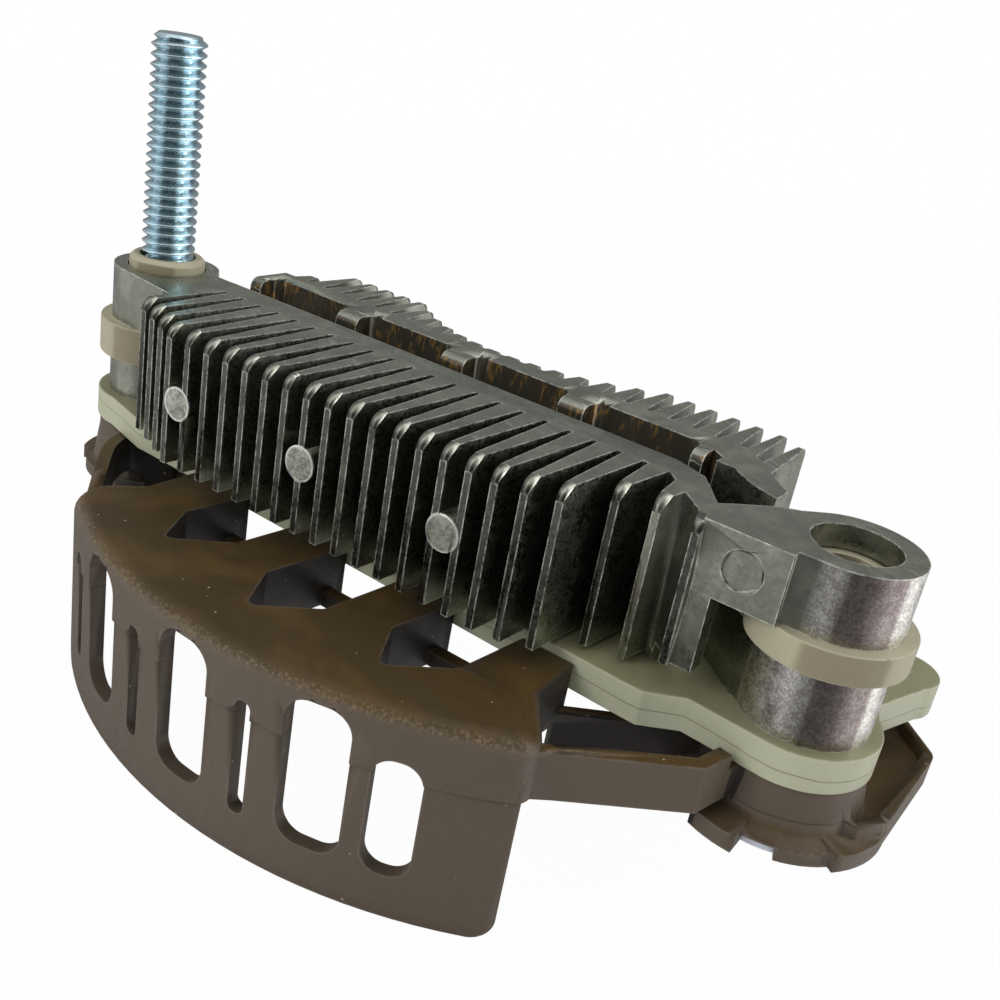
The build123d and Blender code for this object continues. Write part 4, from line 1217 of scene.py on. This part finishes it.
@dataclass
class Studio:
    """The floor, the plain soft light and the photograph's camera."""

    floor_gap: float = 0.2 * MM
    floor_size: float = 6.0
    camera_place: tuple[float, float, float] = (0.13993149, -0.11974842, 0.04853748)
    camera_right: tuple[float, float, float] = (0.79872470, 0.57763186, 0.16846453)
    camera_up: tuple[float, float, float] = (-0.36322496, 0.23966826, 0.90034813)
    camera_forward: tuple[float, float, float] = (-0.47969416, 0.78032081, -0.40123926)
    lens: float = 42.10
    shift: tuple[float, float] = (0.0028, -0.0016)
    world_light: float = 0.5
    white_reach: tuple[float, float] = (0.2, 0.7)
    near_white: float = 0.975
    aim: Colour = (0.056, -0.005, -0.01)

    def build(self, effects: Effects) -> None:
        """Build floor, world, lamps and camera.

        Args:
            effects: the shared node groups.
        """
        self._floor(effects)
        self._world(effects)
        self._lamps()
        self._camera()
        log.info("studio built")

    def _floor(self, effects: Effects) -> None:
        """Lay the floor just under the object: white to the camera, and to metal as the room is.

        Args:
            effects: the shared node groups.
        """
        low = CAD_BOX[0][2] - self.floor_gap
        half = self.floor_size / 2
        corners = np.array([[-half, -half, low], [half, -half, low], [half, half, low], [-half, half, low]])
        material = bpy.data.materials.new("white floor")
        material.use_nodes = True
        graph = Graph(material.node_tree)
        graph.tree.nodes.remove(graph.tree.nodes["Principled BSDF"])
        diffuse = graph.node("ShaderNodeBsdfDiffuse")
        diffuse.inputs["Color"].default_value = (0.9, 0.9, 0.9, 1.0)
        glow = graph.node("ShaderNodeEmission")
        path = graph.node("ShaderNodeLightPath")
        face = graph.node("ShaderNodeNewGeometry")
        away = graph.vector("MULTIPLY", face.outputs["Incoming"], (-1.0, -1.0, -1.0)).outputs[0]
        room = graph.group(effects.studio, Way=away)
        level = graph.node("ShaderNodeMix", data_type="FLOAT")
        graph.feed(level.inputs[0], path.outputs["Is Glossy Ray"])
        level.inputs[2].default_value = 1.0
        graph.feed(level.inputs[3], room.outputs["Level"])
        graph.feed(glow.inputs["Strength"], level.outputs[0])
        distance = graph.vector("LENGTH", face.outputs["Position"]).outputs["Value"]
        white = graph.span(distance, *self.white_reach, self.near_white, 1.0, smooth=True)
        seen = graph.times(path.outputs["Is Camera Ray"], white)
        seen = graph.math("MAXIMUM", seen, graph.times(path.outputs["Is Glossy Ray"], 0.9))
        seen = graph.math("MAXIMUM", seen, path.outputs["Is Transmission Ray"])
        both = graph.node("ShaderNodeMixShader")
        graph.feed(both.inputs[0], seen)
        graph.feed(both.inputs[1], diffuse.outputs[0])
        graph.feed(both.inputs[2], glow.outputs[0])
        graph.feed(graph.tree.nodes["Material Output"].inputs["Surface"], both.outputs[0])
        new_piece("floor", corners, np.array([[0, 1, 2, 3]]), material, False)

    def _world(self, effects: Effects) -> None:
        """Even light from all round, white to the camera, and the room's pattern to metal.

        Args:
            effects: the shared node groups.
        """
        world = bpy.data.worlds.new("studio")
        bpy.context.scene.world = world
        world.use_nodes = True
        graph = Graph(world.node_tree)
        back = graph.tree.nodes["Background"]
        room = graph.group(effects.studio, Way=graph.node("ShaderNodeTexCoord").outputs["Generated"])
        path = graph.node("ShaderNodeLightPath")
        light = graph.node("ShaderNodeMix", data_type="FLOAT")
        graph.feed(light.inputs[0], path.outputs["Is Glossy Ray"])
        light.inputs[2].default_value = self.world_light
        graph.feed(light.inputs[3], room.outputs["Level"])
        seen = graph.node("ShaderNodeMix", data_type="FLOAT")
        graph.feed(seen.inputs[0], graph.math("MAXIMUM", path.outputs["Is Camera Ray"],
                                              path.outputs["Is Transmission Ray"]))
        graph.feed(seen.inputs[2], light.outputs[0])
        seen.inputs[3].default_value = 1.0
        back.inputs["Color"].default_value = (1.0, 1.0, 1.0, 1.0)
        graph.feed(back.inputs["Strength"], seen.outputs[0])

    def _lamps(self) -> None:
        """Hang broad lamps in front and overhead that metal doesn't mirror, and a small one at the right."""
        for name, place, size, power, mirrored in (
            ("front lamp", (-0.3, -0.8, 0.45), 0.5, 3.6, False),
            ("overhead lamp", (0.2, 0.2, 0.85), 0.5, 1.6, False),
            ("right lamp", (0.75, 0.3, 0.25), 0.25, 1.2, True),
        ):
            data = bpy.data.lights.new(name, "AREA")
            data.shape = "DISK"
            data.size = size
            data.energy = power
            lamp = bpy.data.objects.new(name, data)
            lamp.location = place
            lamp.rotation_euler = (Vector(self.aim) - Vector(place)).to_track_quat("-Z", "Y").to_euler()
            lamp.visible_glossy = mirrored
            bpy.context.scene.collection.objects.link(lamp)

    def _camera(self) -> None:
        """Set the camera where the photograph's was."""
        data = bpy.data.cameras.new("camera")
        data.sensor_width = 36.0
        data.lens = self.lens
        data.shift_x, data.shift_y = self.shift
        data.clip_start = 0.005
        data.clip_end = 20.0
        camera = bpy.data.objects.new("camera", data)
        turn = Matrix((self.camera_right, self.camera_up,
                       tuple(-value for value in self.camera_forward))).transposed().to_4x4()
        camera.matrix_world = Matrix.Translation(self.camera_place) @ turn
        bpy.context.scene.collection.objects.link(camera)
        bpy.context.scene.camera = camera


def main() -> None:
    """Build the sub-assemblies in order and report each."""
    logging.basicConfig(level=logging.INFO, format="%(message)s")
    bpy.context.scene.view_settings.view_transform = "Standard"
    effects = Effects()
    HeatSinks().build(effects)
    Stud().build(effects)
    Stacks().build(effects)
    TerminalPlate().build(effects)
    Guard().build(effects)
    Diodes().build(effects)
    Studio().build(effects)


if __name__ == "__main__":
    main()
